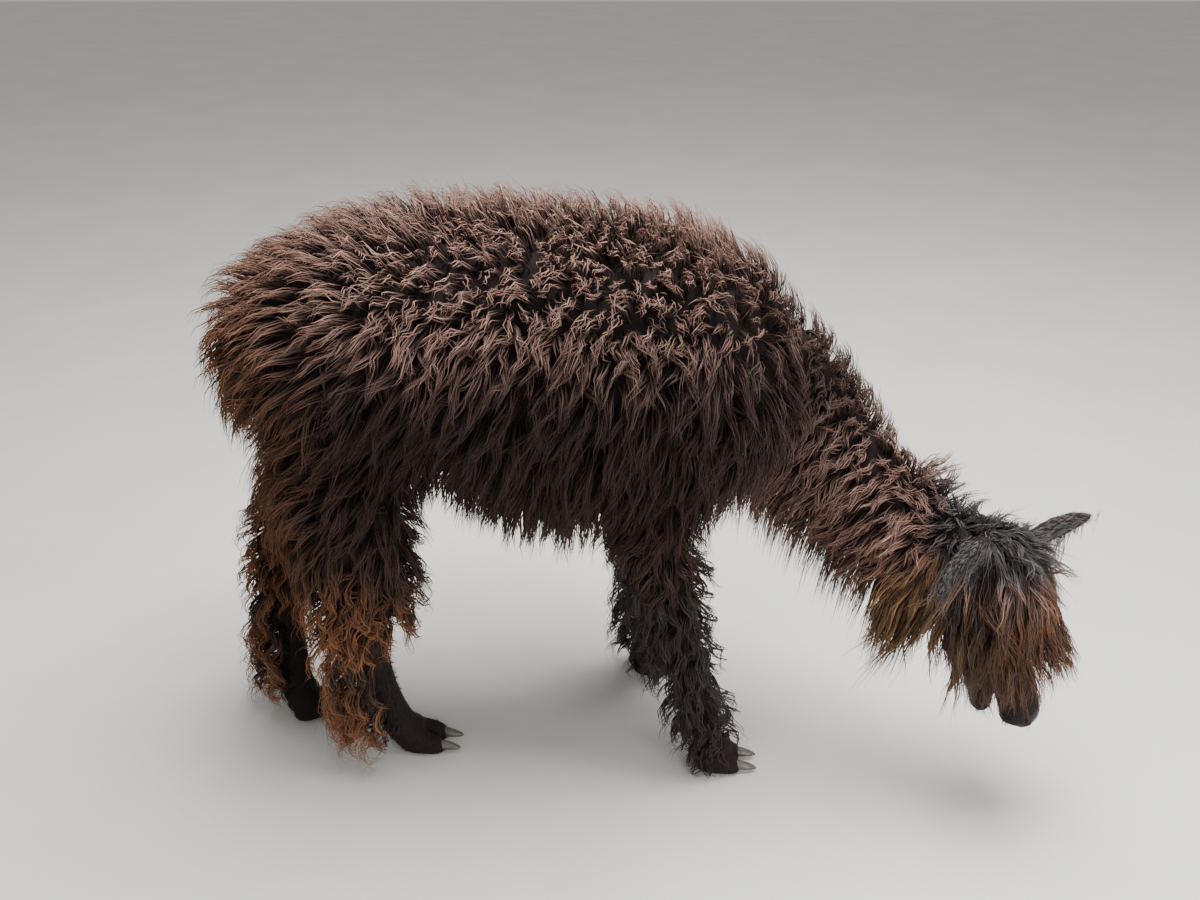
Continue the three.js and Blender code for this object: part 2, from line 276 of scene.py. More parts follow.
def mesh_of(name, points, faces):
    """A mesh from an array of points and an array of triangles."""
    mesh = bpy.data.meshes.new(name)
    mesh.vertices.add(len(points))
    mesh.vertices.foreach_set("co", np.ascontiguousarray(points, np.float32).ravel())
    mesh.loops.add(faces.size)
    mesh.loops.foreach_set("vertex_index", np.ascontiguousarray(faces, np.int32).ravel())
    mesh.polygons.add(len(faces))
    mesh.polygons.foreach_set("loop_start", np.arange(0, faces.size, 3, dtype=np.int32))
    mesh.update(calc_edges=True)
    return mesh


def carry(mesh, name, vectors):
    """Gives each point of a mesh three numbers under a name, for its material."""
    values = vectors.astype(np.float32).ravel()
    mesh.attributes.new(name, "FLOAT_VECTOR", "POINT").data.foreach_set("vector", values)


def search_tree(points, faces):
    """A tree that finds the nearest place on a surface."""
    return BVHTree.FromPolygons(points.tolist(), faces.tolist())


def mesh_from(work, name):
    """A mesh from a workbench of faces, which is then put away."""
    mesh = bpy.data.meshes.new(name)
    work.to_mesh(mesh)
    work.free()
    return mesh


def show(name, mesh, material):
    """A new smooth piece that rides on the animal's one body."""
    piece = bpy.data.objects.new(name, mesh)
    bpy.context.scene.collection.objects.link(piece)
    mesh.materials.clear()
    mesh.materials.append(material)
    mesh.polygons.foreach_set("use_smooth", np.ones(len(mesh.polygons), bool))
    mesh.update()
    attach(piece, "root")
    return piece


def node_body(name, swell=0.0):
    """Points and triangles of a solid, with its surface moved out a little."""
    mesh = NODES[name].data
    return coordinates(mesh) + swell * vertex_normals(mesh), corners(mesh)


def lofted(path, sides=16, rings=28):
    """Points and triangles of a closed tube through x, y, z, half depth, half width."""
    path = np.array(path, float)
    place = np.linspace(0, len(path) - 1, rings)
    station = np.array([np.interp(place, np.arange(len(path)), column) for column in path.T]).T
    kernel = np.ones(5) / 5
    padded = np.pad(station, ((2, 2), (0, 0)), "edge")
    station = np.array([np.convolve(column, kernel, "valid") for column in padded.T]).T
    along = unit(np.gradient(station[:, :3], axis=0))
    wide = unit(np.array([0.0, 1.0, 0.0]) - along * along[:, 1:2])
    deep = np.cross(along, wide)
    angle = np.arange(sides) / sides * 2 * math.pi
    ring = (
        station[:, None, :3]
        + wide[:, None] * (station[:, None, 4:5] * np.cos(angle)[None, :, None])
        + deep[:, None] * (station[:, None, 3:4] * np.sin(angle)[None, :, None])
    )
    points = np.concatenate([ring.reshape(-1, 3), station[:1, :3], station[-1:, :3]])
    faces = []
    for j in range(sides):
        k = (j + 1) % sides
        faces.append((rings * sides, k, j))
        faces.append((rings * sides + 1, (rings - 1) * sides + j, (rings - 1) * sides + k))
        for i in range(rings - 1):
            a, b = i * sides + j, i * sides + k
            faces.append((a, b, b + sides))
            faces.append((a, b + sides, a + sides))
    return points, np.array(faces)


def gathered(bodies):
    """Several bodies as one list of points and one of triangles."""
    points, faces, base = [], [], 0
    for body_points, body_faces in bodies:
        points.append(body_points)
        faces.append(body_faces + base)
        base += len(body_points)
    return np.concatenate(points), np.concatenate(faces)


def melted(name, bodies, size):
    """One closed surface around overlapping bodies, at the given grain."""
    source = bpy.data.objects.new(name, mesh_of(name + "_source", *gathered(bodies)))
    bpy.context.scene.collection.objects.link(source)
    remesh = source.modifiers.new("Melt", "REMESH")
    remesh.mode = "VOXEL"
    remesh.voxel_size = size
    evaluated = source.evaluated_get(bpy.context.evaluated_depsgraph_get())
    mesh = bpy.data.meshes.new_from_object(evaluated)
    bpy.data.objects.remove(source)
    mesh.name = name
    return largest_island(mesh)


def largest_island(mesh):
    """The mesh without its smaller loose parts."""
    work = bmesh.new()
    work.from_mesh(mesh)
    unseen = set(work.verts)
    islands = []
    while unseen:
        front = [unseen.pop()]
        island = list(front)
        while front:
            vert = front.pop()
            for edge in vert.link_edges:
                other = edge.other_vert(vert)
                if other in unseen:
                    unseen.discard(other)
                    front.append(other)
                    island.append(other)
        islands.append(island)
    islands.sort(key=len)
    stray = [vert for island in islands[:-1] for vert in island]
    bmesh.ops.delete(work, geom=stray, context="VERTS")
    work.to_mesh(mesh)
    work.free()
    return mesh


def eased(points, pairs, rounds, weight=None):
    """Points drawn halfway to the mean of their neighbours in each round, or less by their weight."""
    count = np.bincount(pairs.ravel(), minlength=len(points)).clip(1)[:, None]
    for _ in range(rounds):
        total = np.zeros_like(points)
        for axis in range(3):
            total[:, axis] += np.bincount(pairs[:, 0], points[pairs[:, 1], axis], len(points))
            total[:, axis] += np.bincount(pairs[:, 1], points[pairs[:, 0], axis], len(points))
        pull = (total / count - points) * 0.5
        points = points + (pull if weight is None else pull * weight)
    return points


# ---------------------------------------------------------------- the skin
def fleece_depth(points):
    """How deep the skin lies under the tips of the wool on the trunk and thighs."""
    sizes = bpy.context.scene.alpaca_skin
    leg = smooth_step(0.60, 0.46, points[:, 2]) * smooth_step(0.30, 0.20, points[:, 0])
    return sizes.trunk_depth + (sizes.leg_depth - sizes.trunk_depth) * leg


@cache
def solids_tree(names):
    """A search tree of the named solids."""
    return search_tree(*gathered([node_body(name) for name in names]))


def closeness(points, names, near, far):
    """How surely points lie on the named solids, from 0 beyond the far distance to 1 within the near one."""
    tree = solids_tree(names)
    gaps = [tree.find_nearest(Vector(point))[3] for point in points]
    return smooth_step(far, near, np.array(gaps))


def near_head(points):
    """1 on the head and jaw and 0 a little off them."""
    return closeness(points, SKULL, 0.007, 0.014)


def near_head_softly(points):
    """1 on the head and jaw, falling to 0 far off them."""
    return closeness(points, SKULL, 0.02, 0.11)


def near_ear(points):
    """1 on the ears past their roots and 0 a little off them."""
    past_root = np.zeros(len(points))
    for name in EARS:
        past_root = np.maximum(past_root, smooth_step(0.05, 0.15, share_along(points, *ear_ends(name))))
    return closeness(points, EARS, 0.005, 0.009) * past_root


@cache
def ear_ends(name):
    """The root and the tip of an ear."""
    points = coordinates(NODES[name].data)
    centre = points.mean(0)
    way = np.linalg.svd(points - centre)[2][0]
    reach = (points - centre) @ way
    low = points[reach < np.percentile(reach, 6)].mean(0)
    high = points[reach > np.percentile(reach, 97)].mean(0)
    poll = np.array(POLL)
    return (low, high) if np.linalg.norm(low - poll) < np.linalg.norm(high - poll) else (high, low)


def slim_ear(name, depth):
    """An ear drawn in by the depth of its hair, more towards a pointed tip."""
    points, faces = node_body(name)
    low, high = ear_ends(name)
    share = share_along(points, low, high)
    middle = low + share[:, None] * (high - low)
    out = points - middle
    width = np.linalg.norm(out, axis=1)
    narrow = np.clip((width - depth) / np.maximum(width, 1e-6), 0.5, 1.0)
    past_root = smooth_step(0.0, 0.25, share)
    return middle + out * (1 - past_root * (1 - narrow))[:, None], faces


def finer(mesh, wanted):
    """Splits the faces whose middles are wanted, keeping the surface whole."""
    work = bmesh.new()
    work.from_mesh(mesh)
    middles = np.array([face.calc_center_median() for face in work.faces])
    chosen = wanted(middles)
    edges = {edge for face, keep in zip(work.faces, chosen) if keep for edge in face.edges}
    bmesh.ops.subdivide_edges(work, edges=list(edges), cuts=1, use_grid_fill=True, smooth=0.4)
    bmesh.ops.triangulate(work, faces=[face for face in work.faces if len(face.verts) > 4])
    work.to_mesh(mesh)
    work.free()


def dent(local, centre, along, half_length, half_width, depth_axis):
    """1 in the middle of a soft long spot, falling to 0 around it."""
    offset = local - np.array(centre)
    along = np.array(along) / np.linalg.norm(along)
    deep = np.array(depth_axis) / np.linalg.norm(depth_axis)
    run = offset @ along
    fall = offset @ deep
    side = np.sqrt(np.maximum((offset**2).sum(1) - run**2 - fall**2, 0))
    return np.exp(-((run / half_length) ** 2) - (side / half_width) ** 2 - (fall / 0.02) ** 2)


def nostril(local, side):
    """A curved slit pressed straight in, with a raised wing around it."""
    inward = -unit(np.array((0.75, side * 0.45, 0.45)))
    slit = np.array((-0.30, side * 0.62, 0.72))
    slit = unit(slit - inward * (slit @ inward))
    offset = local - np.array(NOSTRIL) * (1, side, 1)
    run, fall = offset @ slit, offset @ inward
    gap = offset @ np.cross(inward, slit) - side * 22 * run**2
    near = smooth_step(0.030, 0.020, np.abs(fall))
    pit = np.exp(-((run / 0.0095) ** 4) - (gap / 0.0028) ** 2)
    wing = np.exp(-(((np.hypot(run / 0.0135, gap / 0.0068) - 1) / 0.32) ** 2))
    return inward * ((0.0115 * pit - 0.0018 * wing) * near)[:, None]


def shape_head(points, normals):
    """Eyelids, nostrils, lips and the bones of the face, pressed into the skin."""
    local = in_head(points)
    move = np.zeros_like(local)
    outward = normals @ np.array(HEAD_AXES)

    for sign in SIGNS.values():
        move += nostril(local, sign)
        for height, (x, y, z), *shape in FACE_FORMS.values():
            move += outward * (dent(local, (x, sign * y, z), *shape) * height)[:, None]
    height, *shape = LIP_GROOVE
    move += outward * (dent(local, *shape) * height)[:, None]
    local = local + move

    for side, centre in EYE_PLACES.items():
        offset = local - np.array(centre)
        distance = np.linalg.norm(offset, axis=1)
        sign = SIGNS[side]
        way = offset / np.maximum(distance, 1e-6)[:, None]
        outer = smooth_step(0.0, 0.25, way[:, 1] * sign)
        run = np.arctan2(way[:, 0], way[:, 1] * sign)
        rise = np.arcsin(np.clip(way[:, 2], -1, 1))
        opening = np.sqrt((run / LID_RUN) ** 2 + (rise / LID_RISE) ** 2)
        lid = EYE_RADIUS + 0.0016 + 0.0012 * np.exp(-(((opening - 1.15) / 0.16) ** 2))
        crease = -0.0012 * np.exp(-(((opening - 1.62) / 0.12) ** 2))
        wrapped = np.where(opening < 1.0, EYE_RADIUS - 0.0035, lid + crease)
        near = smooth_step(0.028, 0.021, distance) * outer
        local = local + way * ((wrapped - distance) * near)[:, None]
    return out_of_head(local)


def part_toes(points, normals):
    """The cleft between the two toes of each foot, on top and in front."""
    for leg in LEGS:
        nails = [coordinates(NODES[f"{leg}_nail_{side}"].data) for side in ("outer", "inner")]
        outer, inner = (nail.mean(0) for nail in nails)
        across = unit((inner - outer)[None])[0]
        ahead = np.array((abs(across[1]), -across[0] * np.sign(across[1]), 0.0))
        offset = points - (outer + inner) / 2
        run, side = offset @ ahead, offset @ across
        cleft = np.exp(-((side / 0.0055) ** 2)) * smooth_step(-0.085, -0.045, run)
        cleft = cleft * smooth_step(0.055, 0.040, points[:, 2])
        near = (np.linalg.norm(offset[:, :2], axis=1) < 0.12) & (points[:, 2] < 0.06)
        points = points - normals * (0.011 * cleft * near)[:, None]
    return points


def build_skin(sizes):
    """One closed skin: fleeced parts drawn in by the wool's depth, joined with head, ears and feet."""
    broad = [name for name in FLEECED if name not in ("neck", "tail")]
    trunk = melted("trunk_form", [node_body(name, SWELL) for name in broad], TRUNK_GRAIN)
    points = eased(coordinates(trunk), edge_pairs(trunk), 10)
    set_coordinates(trunk, points)
    points = points - vertex_normals(trunk) * fleece_depth(points)[:, None]
    points = eased(points, edge_pairs(trunk), 14)
    set_coordinates(trunk, points)
    bodies = [(coordinates(trunk), corners(trunk))]
    for path in FLESH_PATHS.values():
        centred = [(x - CENTRING.x, y - CENTRING.y, z, deep, wide) for x, y, z, deep, wide in path]
        bodies.append(lofted(centred))
    bodies += [node_body(name, SWELL) for name in BARE if name not in EARS]
    bodies += [slim_ear(name, sizes.ear_depth) for name in EARS]
    bodies += [node_body("eye_" + side, 2 * SWELL) for side in EYE_PLACES]
    skin = melted("skin", bodies, sizes.grain)
    bpy.data.meshes.remove(trunk)

    pairs = edge_pairs(skin)
    points = coordinates(skin)
    bare = np.maximum(near_head(points), near_ear(points))
    bare = np.maximum(bare, smooth_step(0.07, 0.05, points[:, 2]))
    points = eased(points, pairs, 3)
    points = eased(points, pairs, 8, weight=(1 - bare)[:, None])
    withers = 1 - smooth_step(0.10, 0.24, np.linalg.norm(points - np.array(NECK_ROOT), axis=1))
    points = eased(points, pairs, 60, weight=(withers * (1 - bare))[:, None])
    set_coordinates(skin, points)

    finer(skin, lambda middle: (near_head(middle) > 0.5) | (near_ear(middle) > 0.5) | (middle[:, 2] < 0.06))
    points = coordinates(skin)
    low = points[:, 2] < 0.004
    points = eased(points, edge_pairs(skin), 2)
    points[low, 2] = points[low, 2].clip(SOLE)
    set_coordinates(skin, points)

    def features(middle):
        """True on the nose, the lips and the lids."""
        local = in_head(middle)
        nose = (local[:, 0] > 0.262) & (np.abs(local[:, 1]) < 0.045) & (local[:, 2] > -0.075)
        eyes = np.zeros(len(middle), bool)
        for centre in EYE_PLACES.values():
            eyes |= np.linalg.norm(local - np.array(centre), axis=1) < 0.030
        return (nose | eyes) & (near_head(middle) > 0.5)

    finer(skin, features)
    points = shape_head(coordinates(skin), vertex_normals(skin))
    set_coordinates(skin, points)
    points = part_toes(points, vertex_normals(skin))
    points[:, 2] = points[:, 2].clip(SOLE)
    set_coordinates(skin, points)
    return skin


# ---------------------------------------------------------------- roots and reach of the wool
class Pelt:
    """The skin as the wool sees it: where it is, which way it faces and how far the coat reaches over it."""

    def __init__(self, skin):
        self.points = coordinates(skin)
        self.normals = unit(eased(vertex_normals(skin), edge_pairs(skin), 6))
        self.faces = corners(skin)
        self.tree = search_tree(self.points, self.faces)
        self.reach = self.measured_reach()
        self.unwrap = flattened(skin)
        a, b, c = (self.points[self.faces[:, i]] for i in range(3))
        self.areas = np.linalg.norm(np.cross(b - a, c - a), axis=1) / 2

    def measured_reach(self):
        """From each point of the skin straight out to the coat's outer form, less at the ears."""
        names = FLEECED + SHANKS + ("forelock",)
        form = melted("coat_form", [node_body(name, SWELL) for name in names], COAT_GRAIN)
        set_coordinates(form, eased(coordinates(form), edge_pairs(form), 3))
        tree = search_tree(coordinates(form), corners(form))
        bpy.data.meshes.remove(form)
        reach = np.zeros(len(self.points))
        clear = 0.002  # of the skin, where the search begins
        for i, (point, normal) in enumerate(zip(self.points, self.normals)):
            start = Vector(point) + Vector(normal) * clear
            hit, face_normal, _, distance = tree.ray_cast(start, Vector(normal), FARTHEST_REACH)
            if hit is not None and face_normal.dot(Vector(normal)) > 0:
                reach[i] = distance + clear
        tips = self.points + self.normals * reach[:, None]
        return reach * (1 - 0.8 * closeness(tips, EARS, 0.006, 0.026))

    def scatter(self, rng, weight, spacing):
        """Roots no nearer to each other than the spacing, where the weight of a face is above nought."""
        share = self.areas * weight
        count = int(TRIES * share.sum() / spacing**2)
        if count == 0:
            raise RuntimeError("a region of the coat has no skin to grow on")
        face = np.searchsorted(np.cumsum(share) / share.sum(), rng.random(count)).clip(0, len(share) - 1)
        u, v = rng.random(count), rng.random(count)
        u, v = np.where(u + v > 1, 1 - u, u), np.where(u + v > 1, 1 - v, v)
        mix = np.stack([1 - u - v, u, v], 1)
        place = (self.points[self.faces[face]] * mix[:, :, None]).sum(1)
        kept = thinned(place, spacing)
        face, mix, place = face[kept], mix[kept], place[kept]
        normal = unit((self.normals[self.faces[face]] * mix[:, :, None]).sum(1))
        reach = (self.reach[self.faces[face]] * mix).sum(1)
        flat = (self.unwrap[face] * mix[:, :, None]).sum(1)
        return place, normal, reach, flat

    def flat_at(self, point):
        """The place of the nearest skin on the unwrap."""
        face = self.tree.find_nearest(Vector(point))[2]
        return self.unwrap[face].mean(0)

    def beneath(self, points):
        """The nearest skin to each point: its place, the way it faces and the coat's reach there."""
        place, normal, reach = np.empty_like(points), np.empty_like(points), np.empty(len(points))
        for i, point in enumerate(points):
            hit, _, face, _ = self.tree.find_nearest(Vector(point))
            place[i] = hit
            corner = self.faces[face]
            normal[i] = self.normals[corner].sum(0)
            reach[i] = self.reach[corner].mean()
        return place, unit(normal), reach


def flattened(skin):
    """Each corner's place on an unwrap of the skin."""
    copy = bpy.data.objects.new("unwrap", skin.copy())
    bpy.context.scene.collection.objects.link(copy)
    bpy.ops.object.select_all(action="DESELECT")
    bpy.context.view_layer.objects.active = copy
    copy.select_set(True)
    bpy.ops.object.mode_set(mode="EDIT")
    bpy.ops.mesh.select_all(action="SELECT")
    bpy.ops.uv.smart_project(angle_limit=math.radians(80), island_margin=0.004)
    bpy.ops.object.mode_set(mode="OBJECT")
    mesh = copy.data
    mesh.calc_loop_triangles()
    loops = np.empty(len(mesh.loop_triangles) * 3, np.int32)
    mesh.loop_triangles.foreach_get("loops", loops)
    places = np.empty(len(mesh.loops) * 2, np.float32)
    mesh.uv_layers.active.data.foreach_get("uv", places)
    bpy.data.objects.remove(copy)
    return places.reshape(-1, 2)[loops.reshape(-1, 3)]


def thinned(points, spacing):
    """Indices of points that keep the spacing, in the order given."""
    cells = {}
    kept = []
    keys = np.floor(points / spacing).astype(int)
    near = [(i, j, k) for i in (-1, 0, 1) for j in (-1, 0, 1) for k in (-1, 0, 1)]
    limit = spacing * spacing
    for index, (key, point) in enumerate(zip(map(tuple, keys), points.tolist())):
        clear = True
        for i, j, k in near:
            for other in cells.get((key[0] + i, key[1] + j, key[2] + k), ()):
                gap = (other[0] - point[0]) ** 2 + (other[1] - point[1]) ** 2 + (other[2] - point[2]) ** 2
                if gap < limit:
                    clear = False
                    break
            if not clear:
                break
        if clear:
            cells.setdefault(key, []).append(point)
            kept.append(index)
    return np.array(kept)


# ---------------------------------------------------------------- locks of wool
@dataclass(frozen=True)
class Wool:
    """How the locks of one region grow. Lengths are in metres."""

    spacing: float  # between the roots of neighbouring locks
    strands: int  # in a lock
    length: float
    width: float  # of a strand at its thickest
    wave: float  # length of one wave
    swing: float  # how far a wave carries a strand to each side
    curl: float = 0.3  # 0 for a flat wave, 1 for a round ringlet
    rings: int = 8
    gather: float = 0.7  # how far the strands of a lock draw together at its tip
    lift: float = 1.0  # share of the coat's reach that the lock stands out
    stray: float = 0.25  # how far locks turn from the lie of the coat, in radians
    tuck: float = 0.0  # 1 keeps the lock's tip close to the skin
    uneven: float = 0.18  # how far the lengths of locks differ
    under: float = 0.22  # share of locks that stay short and low, as underwool
    upright: float = 0.0  # how much the locks stand up before they lie over, where the skin faces up
    spring: float = 2.6  # how soon after the root the locks reach their height
    unison: float = 0.6  # how nearly the strands of a lock wave together
    hang: float = 0.7  # share of the length after which the tips leave the skin's shape and hang
    sag: float = 0.22  # how soon the hanging tips turn down
    spread: float = 0.78  # radius of a lock at its root against the spacing


def way_of(points, direction):
    """The same way at every point."""
    return np.broadcast_to(np.array(direction, float), points.shape)


def turned(flow, direction, share):
    """A lie turned towards a way by a share."""
    return flow + (way_of(flow, direction) - flow) * share


def body_lie(points, normals):
    """The lie of the coat on trunk, neck and legs, parted along the top line."""
    x, z = points[:, :1], points[:, 2:]
    rump = smooth_step(-0.16, -0.48, x)
    shoulder = smooth_step(0.0, 0.22, x)
    neck = smooth_step(-0.04, 0.14, down_neck(points))[:, None]
    leg = smooth_step(0.56, 0.44, z) * smooth_step(0.26, 0.20, x)
    flow = turned(way_of(points, (-0.45, 0.0, -1.0)), (-0.90, 0.0, -0.70), rump)
    flow = turned(flow, (-0.30, 0.0, -1.00), smooth_step(-0.50, -0.64, x))
    flow = turned(flow, (-0.50, 0.0, -0.90), shoulder)
    flow = turned(flow, (-0.70, 0.10, -0.75), neck)
    flow = turned(flow, (-0.16, 0.0, -1.0), leg)
    right = unit(way_of(points, (0.0, -1.0, 0.0)) * (1 - neck) + way_of(points, NECK_RIGHT) * neck)
    facing = dots(normals, right)
    parted = right * np.sign(facing) * smooth_step(0.0, 0.45, np.abs(facing))
    crest = smooth_step(0.30, 0.80, normals[:, 2:])
    upper = smooth_step(0.15, 0.60, normals[:, 2:])
    flow += way_of(points, -0.65 * np.array(NECK_WAY)) * upper * neck
    flow += way_of(points, (-0.90, 0.0, 0.50)) * upper * shoulder * (1 - neck)
    parting = (0.5 - 0.4 * rump) * (1 - 0.65 * np.maximum(neck, 0.7 * shoulder))
    return unit(flow + parted * crest * parting)


def ruff_lie(points, normals):
    """Cheek wool hangs and flares from behind the jaw."""
    away = points - np.array(POLL) - from_head((0.10, 0, -0.05))
    flare = np.array((0.45, -0.08, 0.0)) * near_head_softly(points)[:, None]
    flow = way_of(points, (-0.50, 0.0, -1.0)) + flare
    return unit(flow + 0.12 * unit(away))


def forelock_lie(points, normals):
    """The topknot parts at the poll and falls over the face."""
    local = in_head(points)
    fan = np.stack([np.ones(len(local)), 1.2 * local[:, 1] / 0.1, 0.5 * local[:, 2] / 0.1], 1)
    fan[:, 1] *= smooth_step(0.20, 0.02, local[:, 0])
    down = way_of(points, (0.10, -0.05, -1.0))
    fall = smooth_step(0.02, 0.16, local[:, 0])[:, None]
    return unit(unit(fan) @ np.array(HEAD_AXES).T * (1 - fall) + unit(down) * fall)


def forelock_span(points, normals):
    """The topknot ends at a ragged hem above the lips."""
    return np.clip((0.210 - in_head(points)[:, 0]) / 0.225, 0.15, 1.1)


def thigh_span(points, normals):
    """The thigh's wool ends over the hock in front and runs on behind it."""
    front = smooth_step(-0.2, 0.3, normals[:, 0])
    short = np.clip((points[:, 2] - 0.255) / 0.11, 0.35, 1.0)
    return 1 - front * (1 - short)


def throat_span(points, normals):
    """Wool hangs longer under the neck and the chest."""
    return 1 + 0.80 * smooth_step(0.1, -0.5, normals[:, 2])


def rump_span(points, normals):
    """Wool hangs longer from the lower rump over the backs of the thighs."""
    return 1 + 0.70 * smooth_step(0.72, 0.58, points[:, 2]) * smooth_step(-0.2, -0.6, normals[:, 0])


def ringlet_span(points, normals):
    """Ringlets end just clear of the floor."""
    return np.clip((points[:, 2] - 0.034) / 0.165, 0.12, 1.0)


def face_lie(points, normals):
    """Short hair runs from the nose up the face."""
    return way_of(points, from_head((-1.0, 0.0, 0.1)))


def ear_lie(points, normals):
    """The ears' hair runs from root to tip of the nearer ear."""
    gaps, ways = [], []
    for name in EARS:
        low, high = ear_ends(name)
        share = np.clip(share_along(points, low, high), 0, 1)
        gaps.append(np.linalg.norm(points - low - share[:, None] * (high - low), axis=1))
        ways.append(unit((high - low)[None])[0])
    return np.where((gaps[0] < gaps[1])[:, None], *ways)


def grown_paths(pelt, wool, roots, normals, reach, span, lie, rng):
    """The middle line of each lock, following the skin at a rising height and hanging where it is free."""
    count, steps = len(roots), wool.rings + 1
    under = rng.random(count) < wool.under
    length = wool.length * span * rng.uniform(1 - wool.uneven, 1 + wool.uneven, count)
    length = length * np.where(under, 0.6, 1)
    stand = np.maximum(reach, LEAST_STAND) * wool.lift * rng.uniform(0.82, 1.04, count)
    stand = stand * np.where(under, 0.5, 1)
    turn = rng.normal(0, 1, count) * np.where(under, 0.9, wool.stray)
    path = np.empty((count, steps, 3))
    facing = np.empty((count, steps, 3))
    side = np.empty((count, steps, 3))
    normal, local_reach = normals.copy(), reach.copy()
    height = np.full(count, -ROOT_DEPTH)
    here = roots + normals * height[:, None]
    heading = None
    footing, leap = roots, np.zeros(count)
    for step in range(steps):
        flow = lie(here, normal)
        flow = unit(flow - normal * dots(flow, normal) + 1e-4)
        across = np.cross(normal, flow)
        flow = flow * np.cos(turn)[:, None] + across * np.sin(turn)[:, None]
        under_body = smooth_step(-0.45, -0.85, normal[:, 2])[:, None]
        flow = unit(flow * (1 - under_body) + way_of(flow, (-0.10, 0.0, -1.0)) * under_body)
        path[:, step] = here
        facing[:, step] = normal
        side[:, step] = unit(np.cross(normal, flow) + 1e-6)
        if step == steps - 1:
            break
        share = (step + 1) / (steps - 1)
        rise = (1 - (1 - share) ** wool.spring) * (1 - wool.tuck * share**2)
        target = np.minimum(stand * rise, np.maximum(local_reach, LEAST_STAND) * 1.05 * max(wool.lift, 1.0))
        stride = 1 - wool.upright * smooth_step(0.10, 0.60, normal[:, 2]) * smooth_step(0.65, 0.15, share)
        ahead = here + flow * (length * stride / (steps - 1))[:, None]
        spot, normal, local_reach = pelt.beneath(ahead)
        leap = np.maximum(leap, np.linalg.norm(spot - footing, axis=1))
        footing = spot
        on_skin = spot + normal * target[:, None]
        along = ahead + normal * (target - height)[:, None] * 0.5
        there = on_skin * (1 - under_body) + along * under_body
        if heading is not None:
            fall = unit(heading * (1 - wool.sag) + way_of(heading, (0.0, 0.0, -1.0)) * wool.sag)
            hung = here + fall * (length / (steps - 1))[:, None]
            loose = smooth_step(wool.hang, wool.hang + 0.15, share)
            there = there * (1 - loose) + hung * loose
        heading = unit(there - here)
        here = there
        height = target
    for _ in range(2):
        path[:, 1:-1] = 0.5 * path[:, 1:-1] + 0.25 * (path[:, :-2] + path[:, 2:])
    pace = np.diff(path, axis=1)
    turns = dots(unit(pace[:, 1:]), unit(pace[:, :-1]))[..., 0].min(1)
    # Locks that jump, fold back or leap to another part of the skin are left out.
    true = np.linalg.norm(pace, axis=2).max(1) < 2.4 * length / (steps - 1) + 0.010 + 0.4 * stand
    true &= (turns > -0.25) & ((leap < 2.5 * length / (steps - 1) + 0.008) | (wool.hang < 0.6))
    return path[true], facing[true], side[true], length[true], np.where(under, 1.5, 1.0)[true], true


def lock_strands(pelt, wool, roots, normals, reach, flat, span, lie, rng):
    """Every strand's middle line, its frame, its thickness and what it carries for its colour."""
    path, facing, side, length, breadth, true = grown_paths(pelt, wool, roots, normals, reach, span, lie, rng)
    reach, flat = reach[true], flat[true]
    locks, steps = path.shape[:2]
    per = wool.strands
    share = np.linspace(0, 1, steps)
    size = rng.uniform(0.62, 1.12, (locks, per))
    place = size[:, :, None] * share
    low = np.floor(place * (steps - 1) - 1e-6).clip(0, steps - 2).astype(int)
    mix = (place * (steps - 1) - low)[..., None]
    lock = np.arange(locks)[:, None, None]

    def carried(values):
        """What a lock has at each place of its strands."""
        return values[lock, low] * (1 - mix) + values[lock, low + 1] * mix

    line, out, across = carried(path), unit(carried(facing)), unit(carried(side))
    onward = np.cross(across, out)
    radius = wool.spacing * wool.spread * np.sqrt(rng.random((locks, per)))
    angle = rng.uniform(0, 2 * math.pi, (locks, per))
    draw = 1 - wool.gather * smooth_step(0.0, 1.0, share)[None, None, :]
    line = line + across * (radius * np.cos(angle))[..., None, None] * draw[..., None]
    line = line + onward * (radius * np.sin(angle))[..., None, None] * draw[..., None]
    depth = rng.normal(0, 0.10, (locks, per)) * np.maximum(reach, 0.01)[:, None]
    line = line + out * (depth[..., None] * share)[..., None]

    run = length[:, None, None] * place
    phase = rng.uniform(0, 2 * math.pi, (locks, 1)) + rng.normal(0, 1.4 * (1 - wool.unison), (locks, per))
    wave = wool.wave * rng.uniform(0.85, 1.2, (locks, 1)) * rng.uniform(0.93, 1.07, (locks, per))
    beat = 2 * math.pi * run / wave[..., None] + phase[..., None]
    swing = wool.swing * rng.uniform(0.6, 1.3, (locks, per))[..., None]
    swing = swing * smooth_step(0.0, 0.35, share) * (0.7 + 0.6 * share)
    line = line + across * (swing * np.sin(beat))[..., None]
    line = line + out * (wool.curl * swing * np.cos(beat))[..., None]

    width = wool.width * breadth[:, None, None] * rng.uniform(0.50, 1.35, (locks, per, 1))
    taper = 0.70 + 0.42 * np.sin(math.pi * np.minimum(share * 1.2, 1))
    taper = taper * np.maximum(1 - share**1.8, 0) ** 0.7
    chance = rng.random((locks, per))
    patch = np.repeat(flat[:, None], per, 1) + rng.uniform(-PATCH_DRIFT, PATCH_DRIFT, (locks, per, 2))
    return (
        line.reshape(-1, steps, 3),
        across.reshape(-1, steps, 3),
        (width * taper[None, None]).reshape(-1, steps),
        chance.ravel(),
        patch.reshape(-1, 2),
    )


